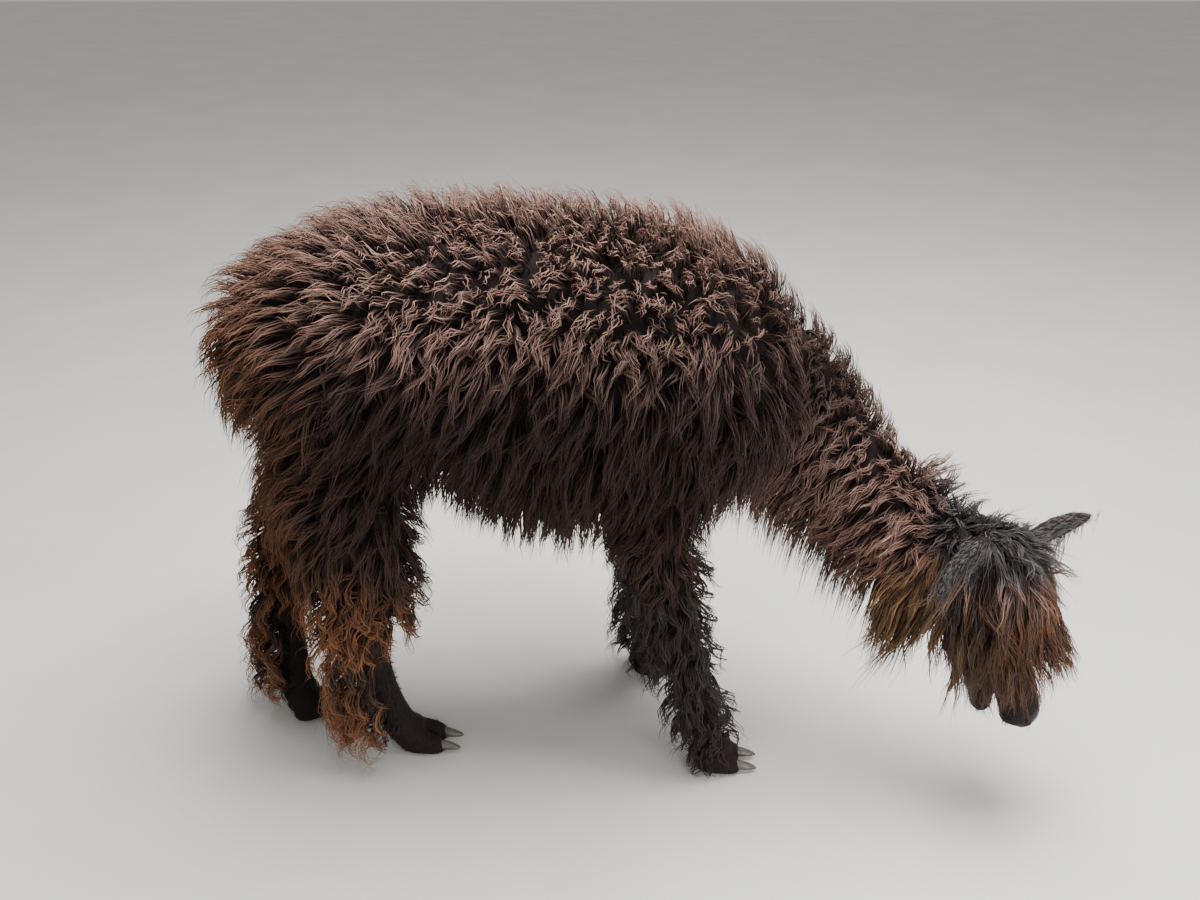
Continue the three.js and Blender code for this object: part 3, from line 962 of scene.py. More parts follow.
def strand_mesh(name, line, across, thickness, chance, patch, rng):
    """Closed three-sided strands that end in a point, with their root-to-tip values and their patches."""
    strands, steps = thickness.shape
    rings = steps - 1
    onward = unit(np.gradient(line, axis=1))
    across = unit(across - onward * dots(across, onward))
    out = np.cross(onward, across)
    roll = rng.uniform(0, 2 * math.pi, strands)[:, None]
    corner = np.arange(3) * 2 * math.pi / 3
    angle = roll + corner[None, :]
    wide = (np.cos(angle)[:, None, :] * thickness[:, :rings, None] * 0.50)[..., None]
    thick = (np.sin(angle)[:, None, :] * thickness[:, :rings, None] * 0.30)[..., None]
    ring = line[:, :rings, None] + across[:, :rings, None] * wide + out[:, :rings, None] * thick
    points = np.concatenate([ring.reshape(strands, rings * 3, 3), line[:, rings:]], 1)
    each = rings * 3 + 1

    faces, around, along = [], [], []
    for i in range(rings - 1):
        for j in range(3):
            k = (j + 1) % 3
            a, b, c, d = i * 3 + j, i * 3 + k, (i + 1) * 3 + k, (i + 1) * 3 + j
            faces += [(a, b, c), (a, c, d)]
            around += [(j, j + 1, j + 1), (j, j + 1, j)]
            along += [(i, i, i + 1), (i, i + 1, i + 1)]
    last = (rings - 1) * 3
    for j in range(3):
        faces.append((last + j, last + (j + 1) % 3, each - 1))
        around.append((j, j + 1, j + 0.5))
        along.append((rings - 1, rings - 1, rings))
    faces.append((0, 2, 1))
    around.append((0, 2, 1))
    along.append((0, 0, 0))
    faces, around, along = np.array(faces), np.array(around) / 3, np.array(along) / rings
    every = (faces[None] + (np.arange(strands) * each)[:, None, None]).reshape(-1, 3)
    mesh = mesh_of(name, points.reshape(-1, 3), every)

    local = np.stack([around, along], -1).reshape(1, -1, 2)
    bake = patch[:, None] + (local - 0.5) * PATCH
    bake = bake.clip(PATCH_EDGE, 1 - PATCH_EDGE)
    strand = local + np.stack([np.floor(chance * 97), np.zeros(strands)], 1)[:, None]
    for layer, values in (("OFBake", bake), ("Strand", strand)):
        mesh.uv_layers.new(name=layer).data.foreach_set("uv", values.astype(np.float32).ravel())
    heights = np.concatenate([np.repeat(np.arange(rings), 3), [rings]]) / rings
    carried = np.zeros((strands, each, 3))
    carried[..., 0] = heights[None]
    carried[..., 1] = chance[:, None]
    carry(mesh, "lock", carried)
    return mesh


def coat_piece(pelt, name, wool, weight, lie, material, seed, span_of=None):
    """One piece of the coat, with its locks set on the weighted part of the skin."""
    rng = np.random.default_rng(SEED + seed)
    settings = bpy.context.scene.alpaca_fleece
    wool = replace(
        wool,
        length=wool.length * settings.length,
        width=wool.width * settings.strand_width,
        swing=wool.swing * settings.waviness,
        spacing=wool.spacing / math.sqrt(settings.density),
    )
    face_weight = weight[pelt.faces].mean(1)
    face_weight = np.where(face_weight > FAINTEST, face_weight, 0)
    roots, normals, reach, flat = pelt.scatter(rng, face_weight, wool.spacing)
    span = span_of(roots, normals) if span_of else np.ones(len(roots))
    line, across, thickness, chance, patch = lock_strands(
        pelt, wool, roots, normals, reach, flat, span, lie, rng
    )
    low, high = np.array(CAD_BOX[0]) - TIP_SLACK, np.array(CAD_BOX[1]) + TIP_SLACK
    low[2] = FLOOR_GAP
    line = line.clip(low, high)
    mesh = strand_mesh(name, line, across, thickness, chance, patch, rng)
    if len(mesh.polygons) >= MOST_TRIANGLES:
        raise RuntimeError(f"{name} has {len(mesh.polygons)} triangles, which isn't under {MOST_TRIANGLES}")
    return show(name, mesh, material)


def grown_lashes(pelt, name, side, material):
    """Long lashes that stand out from the margin of an upper lid and droop."""
    rng = np.random.default_rng(SEED + 31 + (side == "left"))
    count, steps = 22, 6
    run = np.linspace(-0.55, 0.60, count) + rng.normal(0, 0.02, count)
    rise = LID_RISE * np.sqrt(1.10 - (run / LID_RUN) ** 2)
    out = np.stack([np.sin(run) * np.cos(rise), SIGNS[side] * np.cos(run) * np.cos(rise), np.sin(rise)], 1)
    root = np.array(EYE_PLACES[side]) + out * (EYE_RADIUS + 0.0022)
    reach = 0.017 * (1 - 0.35 * (run / 0.6) ** 2) * rng.uniform(0.8, 1.15, count)
    share = np.linspace(0, 1, steps)
    droop = np.array((0.35, 0, -0.30)) * share[:, None] ** 2
    way = unit(out + (0.15, 0, 0.25))[:, None] * share[:, None] + droop
    line = out_of_head(root[:, None] + way * reach[:, None, None])
    across = np.broadcast_to(from_head((1.0, 0.0, 0.0)), line.shape)
    thickness = 0.0008 * (1 - share**2) * np.ones((count, 1))
    patch = np.array([pelt.flat_at(place) for place in line[:, 0]])
    mesh = strand_mesh(name, line, across, thickness, rng.random(count), patch, rng)
    return show(name, mesh, material)


# ---------------------------------------------------------------- shader nodes
def group_of(name, inputs, outputs):
    """A new shader node group and its input and output nodes."""
    group = bpy.data.node_groups.new(name, "ShaderNodeTree")
    for label, kind, default in inputs:
        socket = group.interface.new_socket(label, in_out="INPUT", socket_type=kind)
        if default is not None:
            socket.default_value = default
    for label, kind in outputs:
        group.interface.new_socket(label, in_out="OUTPUT", socket_type=kind)
    return group, group.nodes.new("NodeGroupInput"), group.nodes.new("NodeGroupOutput")


class Wiring:
    """Short names for adding and linking nodes in one tree."""

    def __init__(self, tree):
        self.tree = tree

    def node(self, kind, **settings):
        """A new node with its settings."""
        made = self.tree.nodes.new(kind)
        for key, value in settings.items():
            setattr(made, key, value)
        return made

    def put(self, socket, value):
        """Links another node's output to a socket, or gives the socket a value."""
        if isinstance(value, bpy.types.NodeSocket):
            self.tree.links.new(value, socket)
        else:
            socket.default_value = value

    def put_all(self, sockets, values):
        """Puts values into sockets in their order."""
        for socket, value in zip(sockets, values):
            self.put(socket, value)

    def constants(self, node, values):
        """Gives a node's sockets fixed values by their names."""
        for name, value in values.items():
            node.inputs[name].default_value = value

    def maths(self, operation, *values):
        """The result of a sum on numbers."""
        made = self.node("ShaderNodeMath", operation=operation)
        self.put_all(made.inputs, values)
        return made.outputs[0]

    def times(self, vector, scale):
        """A vector stretched along each axis."""
        made = self.node("ShaderNodeVectorMath", operation="MULTIPLY")
        self.put_all(made.inputs, (vector, scale))
        return made.outputs[0]

    def split(self, vector):
        """The X, Y and Z of a vector."""
        made = self.node("ShaderNodeSeparateXYZ")
        self.put(made.inputs[0], vector)
        return made.outputs

    def position(self):
        """The place in the scene of the spot that is shaded."""
        return self.node("ShaderNodeNewGeometry").outputs["Position"]

    def ramp(self, value, low, high, start=0.0, end=1.0):
        """A smooth change from start to end while the value goes from low to high."""
        made = self.node("ShaderNodeMapRange", interpolation_type="SMOOTHSTEP")
        self.put_all(made.inputs, (value, low, high, start, end))
        return made.outputs[0]

    def blend(self, share, a, b, kind="MIX"):
        """A colour between two others."""
        made = self.node("ShaderNodeMix", data_type="RGBA", blend_type=kind)
        self.put(made.inputs[0], share)
        self.put_all(made.inputs[6:8], (a, b))
        return made.outputs[2]

    def noise(self, vector, scale, detail=3.0):
        """Cloudy noise around one half."""
        made = self.node("ShaderNodeTexNoise")
        self.put(made.inputs["Vector"], vector)
        self.constants(made, {"Scale": scale, "Detail": detail, "Roughness": 0.55})
        return made.outputs["Fac"]

    def bump(self, surface, height, strength, distance):
        """Raises a surface by a height of its own."""
        made = self.node("ShaderNodeBump")
        self.constants(made, {"Strength": strength, "Distance": distance})
        self.put(made.inputs["Height"], height)
        self.put(surface.inputs["Normal"], made.outputs[0])


def nearness(wire, position, centre, radius, soft):
    """1 inside a ball around a place, falling to 0 outside it."""
    gap = wire.node("ShaderNodeVectorMath", operation="DISTANCE")
    wire.put(gap.inputs[0], position)
    gap.inputs[1].default_value = tuple(centre)
    return wire.ramp(gap.outputs["Value"], radius, radius + soft, 1.0, 0.0)


def cannon(wire, axes, leg):
    """1 along the bare bone of a hind leg below its hock and on its foot, falling to 0 around them."""
    high, low = (Vector(FLESH_PATHS[leg][station][:3]) - CENTRING for station in (3, 5))
    steps = []
    for index, axis in enumerate("XY"):
        slope = (high[index] - low[index]) / (high.z - low.z)
        middle = wire.maths("MULTIPLY_ADD", axes["Z"], slope, low[index] - slope * low.z)
        steps.append(wire.maths("SUBTRACT", axes[axis], middle))
    gap = wire.maths("SQRT", wire.maths("ADD", *(wire.maths("POWER", step, 2.0) for step in steps)))
    below_hock = wire.ramp(axes["Z"], 0.20, 0.26, 1.0, 0.0)
    bone = wire.maths("MULTIPLY", wire.ramp(gap, 0.027, 0.038, 1.0, 0.0), below_hock)
    ahead = wire.maths("MULTIPLY", wire.ramp(steps[0], -0.030, -0.012), wire.ramp(gap, 0.10, 0.13, 1.0, 0.0))
    foot = wire.maths("MULTIPLY", ahead, wire.ramp(axes["Z"], 0.05, 0.11, 1.0, 0.0))
    return wire.maths("MAXIMUM", bone, foot)


def coat_markings():
    """Where the wool is tawny, ochre, black, or grey with painted silver sheen at the poll, and where painted
    sunlight lightens the top of the back and the neck; the same for the skin and the coat.
    """
    name = "Coat markings"
    if name in bpy.data.node_groups:
        return bpy.data.node_groups[name]
    outputs = [(mark, "NodeSocketFloat") for mark in ("Tawny", "Ochre", "Black", "Painted sunlight", "Grey")]
    group, _, out = group_of(name, (), outputs)
    wire = Wiring(group)
    position = wire.position()
    axes = wire.split(position)
    drift = wire.noise(position, 5.0)
    height = wire.maths("ADD", axes["Z"], wire.maths("MULTIPLY", drift, 0.16))

    legs = wire.ramp(height, 0.36, 0.60, 1.0, 0.0)
    rear = wire.ramp(axes["X"], -0.28, -0.42)
    thighs = wire.maths("MULTIPLY", legs, rear)
    belly = wire.maths("MULTIPLY", wire.ramp(height, 0.52, 0.66, 1.0, 0.0), 0.10)
    rump = wire.maths("MULTIPLY", wire.ramp(axes["X"], -0.38, -0.66), 0.6)
    throat = nearness(wire, position, POLL + Vector((-0.07, 0.02, -0.16)), 0.09, 0.085)
    crown = nearness(wire, position, on_head((0.215, 0, -0.02)), 0.115, 0.060)
    tawny = wire.maths("MAXIMUM", thighs, wire.maths("MAXIMUM", belly, rump))
    tawny = wire.maths("MAXIMUM", tawny, wire.maths("MULTIPLY", crown, 0.95))
    wire.put(out.inputs["Tawny"], wire.maths("MAXIMUM", tawny, wire.maths("MULTIPLY", throat, 0.8)))
    wire.put(out.inputs["Ochre"], nearness(wire, position, POLL + Vector((-0.13, -0.02, -0.20)), 0.09, 0.13))

    # Painted sunlight: the top of the back and the middle of the neck get lighter, greyer tips, standing in
    # for sunlight and its sheen.
    top = wire.ramp(height, 0.79, 1.00)
    painted_sunlit_neck = nearness(wire, position, NECK_ROOT + NECK_WAY * 0.30, 0.14, 0.16)
    wire.put(out.inputs["Painted sunlight"], wire.maths("MAXIMUM", top, wire.maths("MULTIPLY", painted_sunlit_neck, 0.62)))
    # Grey hair at the poll, partly painted silver sheen on black hair.
    wire.put(out.inputs["Grey"], nearness(wire, position, POLL + Vector((-0.012, 0.0, 0.045)), 0.084, 0.052))
    muzzle = nearness(wire, position, on_head((0.285, 0, -0.07)), 0.055, 0.020)
    fore = wire.ramp(axes["X"], -0.20, -0.10)
    dark_legs = wire.maths("MULTIPLY", wire.ramp(height, 0.42, 0.56, 0.92, 0.0), fore)
    black = wire.maths("MAXIMUM", muzzle, dark_legs)
    for leg in ("hind_right", "hind_left"):
        black = wire.maths("MAXIMUM", black, cannon(wire, axes, leg))
    wire.put(out.inputs["Black"], black)
    return group


def wool_colour():
    """Colour along a strand, from its root to its tip, with the markings and a little chance."""
    name = "Wool colour"
    if name in bpy.data.node_groups:
        return bpy.data.node_groups[name]
    inputs = (
        ("Root", "NodeSocketColor", (0.01, 0.006, 0.005, 1)),
        ("Tip", "NodeSocketColor", (0.08, 0.04, 0.03, 1)),
        ("Tawny tip", "NodeSocketColor", (0.25, 0.09, 0.03, 1)),
        ("Ochre tip", "NodeSocketColor", (0.35, 0.18, 0.07, 1)),
        ("Painted sunlight tip", "NodeSocketColor", (0.15, 0.09, 0.07, 1)),
        ("Grey tip", "NodeSocketColor", (0.12, 0.115, 0.12, 1)),
        ("Black", "NodeSocketColor", (0.008, 0.007, 0.008, 1)),
        ("Along", "NodeSocketFloat", 0.0),
        ("Chance", "NodeSocketFloat", 0.5),
    )
    group, into, out = group_of(name, inputs, (("Color", "NodeSocketColor"),))
    wire = Wiring(group)
    marks = wire.node("ShaderNodeGroup", node_tree=coat_markings())
    # Painted sunlight lightens the tips on the back and the neck.
    tip = wire.blend(marks.outputs["Painted sunlight"], into.outputs["Tip"], into.outputs["Painted sunlight tip"])
    tip = wire.blend(marks.outputs["Tawny"], tip, into.outputs["Tawny tip"])
    tip = wire.blend(marks.outputs["Ochre"], tip, into.outputs["Ochre tip"])
    tip = wire.blend(marks.outputs["Grey"], tip, into.outputs["Grey tip"])
    start = wire.maths("MULTIPLY_ADD", into.outputs["Chance"], 0.30, 0.0)
    rise = wire.ramp(into.outputs["Along"], start, wire.maths("ADD", start, 0.50))
    strength = wire.ramp(into.outputs["Chance"], 0.0, 1.0, 0.35, 1.0)
    root = wire.blend(marks.outputs["Grey"], into.outputs["Root"], into.outputs["Black"])
    colour = wire.blend(wire.maths("MULTIPLY", rise, strength), root, tip)
    colour = wire.blend(wire.maths("MULTIPLY", marks.outputs["Black"], 0.92), colour, into.outputs["Black"])
    wire.put(out.inputs["Color"], colour)
    return group


def hair_streaks():
    """Fine hairs side by side along a strand, for shade and relief."""
    name = "Hair streaks"
    if name in bpy.data.node_groups:
        return bpy.data.node_groups[name]
    inputs = (
        ("Vector", "NodeSocketVector", None),
        ("Hairs", "NodeSocketFloat", 7.0),
        ("Runs", "NodeSocketFloat", 1.2),
    )
    group, into, out = group_of(name, inputs, (("Shade", "NodeSocketFloat"), ("Relief", "NodeSocketFloat")))
    wire = Wiring(group)
    stretch = wire.node("ShaderNodeCombineXYZ")
    wire.put_all(stretch.inputs, (into.outputs["Hairs"], into.outputs["Runs"], 1.0))
    streak = wire.noise(wire.times(into.outputs["Vector"], stretch.outputs[0]), 1.0, 2.0)
    wire.put(out.inputs["Relief"], streak)
    wire.put(out.inputs["Shade"], wire.ramp(streak, 0.30, 0.70, 0.40, 1.65))
    return group


def new_material(name):
    """A new material, with the wiring of its tree and its surface node."""
    material = bpy.data.materials.new(name)
    material.use_nodes = True
    tree = material.node_tree
    return material, Wiring(tree), tree.nodes["Principled BSDF"]


def scaled_colour(wire, colour, shade):
    """A colour made darker or lighter by a number."""
    grey = wire.node("ShaderNodeCombineColor")
    for socket in grey.inputs:
        wire.put(socket, shade)
    return wire.blend(1.0, colour, grey.outputs[0], "MULTIPLY")


def colours_into(wire, node, colours):
    """Puts colours into the sockets of a node that bear their names."""
    for socket, value in colours.items():
        wire.put(node.inputs[socket], (*value, 1))


def fleece_colours(settings):
    """The coat's colours by the names of their sockets."""
    return {
        "Root": settings.root_colour,
        "Tip": settings.tip_colour,
        "Tawny tip": settings.tawny_colour,
        "Ochre tip": settings.ochre_colour,
        "Painted sunlight tip": settings.painted_sunlight_colour,
        "Grey tip": settings.grey_and_sheen_colour,
        "Black": settings.black_colour,
    }


def wool_material(name, settings, roughness, relief=0.35, **changed):
    """Long wool: streaked strands that lighten from root to tip."""
    material, wire, surface = new_material(name)
    lock = wire.split(wire.node("ShaderNodeAttribute", attribute_name="lock").outputs["Vector"])
    colour = wire.node("ShaderNodeGroup", node_tree=wool_colour())
    colours_into(wire, colour, {**fleece_colours(settings), **changed})
    wire.put(colour.inputs["Along"], lock[0])
    wire.put(colour.inputs["Chance"], lock[1])
    place = wire.node("ShaderNodeUVMap", uv_map="Strand")
    streaks = wire.node("ShaderNodeGroup", node_tree=hair_streaks())
    wire.put(streaks.inputs["Vector"], place.outputs[0])
    wire.put(surface.inputs["Base Color"], scaled_colour(wire, colour.outputs[0], streaks.outputs["Shade"]))
    dull = roughness > 0.5
    values = {
        "Roughness": roughness,
        "Specular IOR Level": 0.18 if dull else 0.32,
        "Sheen Weight": 0.08 if dull else 0.04,
        "Sheen Roughness": 0.4,
        "Sheen Tint": (0.85, 0.55, 0.42, 1),
    }
    wire.constants(surface, values)
    wire.bump(surface, streaks.outputs["Relief"], relief, 0.0006)
    return material


def skin_material(settings):
    """Short dark hair over skin, greyer and bare at the lips, nostrils and lids, with painted shade deep in
    the nostrils and on the skin under the fleece.
    """
    material, wire, surface = new_material("Short hair and skin")
    position = wire.position()
    fine = wire.noise(wire.times(position, (1.0, 1.0, 0.22)), 900.0)
    broad = wire.noise(position, 60.0, 4.0)
    colour = wire.node("ShaderNodeGroup", node_tree=wool_colour())
    colours_into(wire, colour, fleece_colours(settings))
    wire.put(colour.inputs["Along"], wire.ramp(fine, 0.35, 0.75, 0.0, 0.16))
    wire.put(colour.inputs["Chance"], broad)
    bare = nearness(wire, position, on_head((0.292, 0, -0.035)), 0.022, 0.020)
    tone = wire.blend(wire.maths("MULTIPLY", bare, 0.8), colour.outputs[0], (0.020, 0.017, 0.018, 1))
    # Painted shade: a near-black spot deep in each nostril pit.
    for sign in SIGNS.values():
        place = on_head(Vector(NOSTRIL) * Vector((1, sign, 1)) - Vector((0.006, sign * 0.004, 0.004)))
        tone = wire.blend(nearness(wire, position, place, 0.004, 0.006), tone, (0.003, 0.0025, 0.0025, 1))
    # Painted shade: above the hocks and away from the face, the skin is darkened to 0.45, so bare patches
    # read as deep shade between the locks.
    face = nearness(wire, position, on_head((0.15, 0, 0)), 0.19, 0.05)
    above_hocks = wire.ramp(wire.split(position)["Z"], 0.25, 0.40)
    covered = wire.maths("MULTIPLY", above_hocks, wire.maths("SUBTRACT", 1.0, face))
    painted_gap_shade = wire.ramp(covered, 0.0, 1.0, 1.0, 0.45)
    shade = wire.maths("MULTIPLY", wire.ramp(fine, 0.3, 0.7, 0.6, 1.35), painted_gap_shade)
    wire.put(surface.inputs["Base Color"], scaled_colour(wire, tone, shade))
    wire.put(surface.inputs["Roughness"], wire.ramp(bare, 0.0, 1.0, 0.80, 0.42))
    surface.inputs["Specular IOR Level"].default_value = 0.18
    wire.bump(surface, wire.maths("ADD", fine, wire.maths("MULTIPLY", broad, 0.4)), 0.5, 0.0008)
    return material


def nail_material():
    """Grey horn with rings of growth, and browner where it is gritty."""
    material, wire, surface = new_material("Nail horn")
    position = wire.position()
    rings = wire.noise(wire.times(position, (0.08, 1.0, 0.6)), 420.0, 1.0)
    grit = wire.noise(position, 120.0)
    tone = wire.blend(wire.ramp(rings, 0.30, 0.72), (0.048, 0.041, 0.034, 1), (0.112, 0.098, 0.080, 1))
    tone = wire.blend(wire.ramp(grit, 0.5, 0.8, 0.0, 0.5), tone, (0.05, 0.04, 0.03, 1))
    wire.put(surface.inputs["Base Color"], tone)
    wire.put(surface.inputs["Roughness"], wire.ramp(grit, 0.2, 0.8, 0.32, 0.62))
    wire.bump(surface, wire.maths("ADD", rings, wire.maths("MULTIPLY", grit, 0.5)), 0.4, 0.0005)
    return material


def eye_material():
    """A dark brown iris with fine spokes, a level black pupil and a wet surface."""
    material, wire, surface = new_material("Eye")
    gaze = wire.node("ShaderNodeAttribute", attribute_name="gaze")
    ahead, up, out = wire.split(gaze.outputs["Vector"])
    spread = wire.maths("POWER", wire.maths("MULTIPLY", ahead, 0.62), 2.0)
    rise = wire.maths("MULTIPLY", wire.maths("POWER", up, 2.0), 2.2)
    pupil = wire.ramp(wire.maths("SQRT", wire.maths("ADD", spread, rise)), 0.21, 0.25, 1.0, 0.0)
    iris = wire.ramp(out, 0.62, 0.70)
    spokes = wire.noise(gaze.outputs["Vector"], 26.0)
    brown = wire.blend(wire.ramp(spokes, 0.3, 0.75), (0.012, 0.005, 0.003, 1), (0.062, 0.026, 0.011, 1))
    tone = wire.blend(iris, (0.020, 0.012, 0.010, 1), brown)
    wire.put(surface.inputs["Base Color"], wire.blend(pupil, tone, (0.001, 0.001, 0.001, 1)))
    values = {
        "Roughness": 0.40,
        "Specular IOR Level": 0.15,
        "Coat Weight": 1.0,
        "Coat IOR": 1.34,
        "Coat Roughness": 0.04,
    }
    wire.constants(surface, values)
    return material


# ---------------------------------------------------------------- sizes and colours
def length_setting(name, description, default):
    """A length in metres."""
    return FloatProperty(
        name=name, description=description, default=default, min=0.0, subtype="DISTANCE", unit="LENGTH"
    )


def share_setting(name, description, least, most):
    """A factor that leaves things as they are at 1."""
    return FloatProperty(
        name=name, description=description, default=1.0, min=least, max=most, subtype="FACTOR"
    )


def number_setting(name, description, default, least=0.0):
    """A plain number."""
    return FloatProperty(name=name, description=description, default=default, min=least)


def colour_setting(name, description, default):
    """A colour in linear red, green and blue."""
    return FloatVectorProperty(
        name=name, description=description, default=default, min=0.0, max=1.0, size=3, subtype="COLOR"
    )


class AlpacaSkinSettings(bpy.types.PropertyGroup):
    """Sizes of the skin."""

    grain: length_setting("Grain", "Size of the skin's faces before the head is refined", 0.0062)
    trunk_depth: length_setting("Trunk depth", "How deep the skin lies under the wool of the trunk", 0.062)
    leg_depth: length_setting("Leg depth", "How deep the skin lies under the wool of the thighs", 0.038)
    ear_depth: length_setting("Ear depth", "How deep the skin lies under the hair of the ears", 0.0010)


class AlpacaFleeceSettings(bpy.types.PropertyGroup):
    """Sizes and colours of the coat."""

    length: share_setting("Length", "Length of all locks against their own", 0.3, 1.6)
    density: share_setting("Density", "Locks to an area against their own", 0.1, 1.2)
    strand_width: share_setting("Strand width", "Width of all strands against their own", 0.3, 2.0)
    waviness: share_setting("Waviness", "Swing of all waves against their own", 0.0, 2.0)
    root_colour: colour_setting("Root", "Wool near the skin", (0.0165, 0.0088, 0.0072))
    tip_colour: colour_setting("Tip", "Tips of the body wool", (0.027, 0.0136, 0.0110))
    tawny_colour: colour_setting("Tawny tip", "Tips on the legs, rump and forelock", (0.300, 0.115, 0.040))
    ochre_colour: colour_setting("Ochre tip", "Tips under the throat", (0.480, 0.265, 0.115))
    # Painted sunlight and sheen on the tips along the back and the neck.
    painted_sunlight_colour: colour_setting("Painted sunlight tip", "Tips along the back", (0.330, 0.190, 0.152))
    # Grey tips at the poll, partly painted silver sheen.
    grey_and_sheen_colour: colour_setting("Grey tip", "Tips at the poll", (0.098, 0.089, 0.092))
    black_colour: colour_setting("Black", "Muzzle, shanks and feet", (0.0100, 0.0060, 0.0055))


class AlpacaEyeSettings(bpy.types.PropertyGroup):
    """Shape of the eyes."""

    cornea: length_setting("Cornea", "How far the cornea stands out from the ball", 0.0011)
    segments: IntProperty(name="Segments", description="Faces around an eye", default=48, min=12, max=96)


class AlpacaStageSettings(bpy.types.PropertyGroup):
    """Floor, lights and camera."""

    floor_colour: colour_setting("Floor", "Plain floor and backdrop", (0.62, 0.61, 0.58))
    key_power: number_setting("Key light", "Power of the large overhead light, in watts", 280.0)
    fill_power: number_setting("Fill light", "Power of the light beside the camera, in watts", 52.0)
    face_power: number_setting("Face light", "Power of the low light before the head, in watts", 16.0)
    sky: number_setting("Sky", "Strength of the even light from all sides", 0.50)
    lens: number_setting("Lens", "Focal length on a 36 mm wide frame, in millimetres", 35.0, 10.0)
    camera_height: length_setting("Camera height", "Height of the camera above the floor", 1.400)
    camera_distance: length_setting("Camera distance", "Level distance to the animal's middle line", 1.660)
    camera_slope: FloatProperty(
        name="Camera slope",
        description="How far the camera looks down",
        default=math.radians(26.9),
        subtype="ANGLE",
    )


# ---------------------------------------------------------------- operators
@cache
def skin_pelt():
    """The pelt of the skin that stands in the scene."""
    if "skin" not in bpy.data.objects:
        raise RuntimeError("the skin is built before any wool")
    return Pelt(bpy.data.objects["skin"].data)


@cache
def coat_regions():
    """How surely each point of the skin belongs to a region of the coat, from 0 to 1."""
    pelt = skin_pelt()
    points, normals = pelt.points, pelt.normals
    x, y, z = points.T
    head, ear = near_head(points), near_ear(points)
    local = in_head(points)
    neck_run = down_neck(points)
    leg = smooth_step(0.475, 0.445, z) * (x < 0.28)
    body = (1 - np.maximum(head, ear)) * (1 - leg)
    neck = smooth_step(0.0, 0.02, neck_run) * body * (x > 0.1) * (local[:, 0] < 0.17)
    trunk = body * (1 - neck)
    crest = smooth_step(0.50, 0.60, normals[:, 2])
    over_crest = smooth_step(0.36, 0.46, normals[:, 2])
    rump = smooth_step(-0.375, -0.395, x)
    shoulder = smooth_step(0.075, 0.095, x)
    flank = trunk * (1 - crest) * (1 - rump) * (1 - shoulder)
    wooled = smooth_step(0.009, 0.014, pelt.reach)
    fore, hind = leg * (x > -0.15), leg * (x <= -0.15)
    hem = 0.255 + 0.055 * smooth_step(-0.2, 0.3, normals[:, 0])
    shank = smooth_step(hem + 0.020, hem, z)
    behind = smooth_step(-0.10, -0.40, normals[:, 0])
    throat = smooth_step(0.345, 0.365, neck_run)
    jaw_angle = head * smooth_step(-0.036, -0.046, local[:, 2]) * smooth_step(0.125, 0.105, local[:, 0])
    brow = smooth_step(-0.050, -0.036, local[:, 2]) * smooth_step(0.165, 0.150, local[:, 0])
    crown = head * (1 - ear) * brow * smooth_step(0.003, 0.006, pelt.reach)
    neck_side = normals @ unit(np.array(NECK_RIGHT))
    lips = smooth_step(0.292, 0.282, local[:, 0])
    nape = smooth_step(0.26, 0.30, neck_run) * smooth_step(0.25, 0.45, normals[:, 2])
    nape = nape * smooth_step(0.045, 0.030, local[:, 0])
    return {
        "back": trunk * over_crest * (1 - rump) * (1 - shoulder),
        "rump_right": trunk * rump * (y < 0),
        "rump_left": trunk * rump * (y >= 0),
        "flank_right": flank * (y < 0),
        "flank_left": flank * (y >= 0),
        "shoulder": trunk * shoulder,
        "neck_right": neck * (1 - throat) * (neck_side >= 0),
        "neck_left": neck * (1 - throat) * (neck_side < 0),
        "ruff": neck * throat + jaw_angle,
        "hind_right": hind * (y < 0.012) * wooled * (1 - shank),
        "hind_left": hind * (y >= 0.012) * wooled * (1 - shank),
        "ringlets": hind * wooled * shank * behind,
        "fore": fore * wooled,
        "crown": crown,
        "face": head * (1 - ear) * (1 - crown) * (1 - jaw_angle) * lips,
        "poll": nape * (1 - ear) * (z < 0.55),
        "ear": ear,
        "ear_edge": ear * smooth_step(-0.3, -0.6, normals[:, 2]),
        "shank": leg * np.where(x > -0.15, 1 - wooled, 1 - (1 - shank) * wooled) * (z > 0.012),
    }


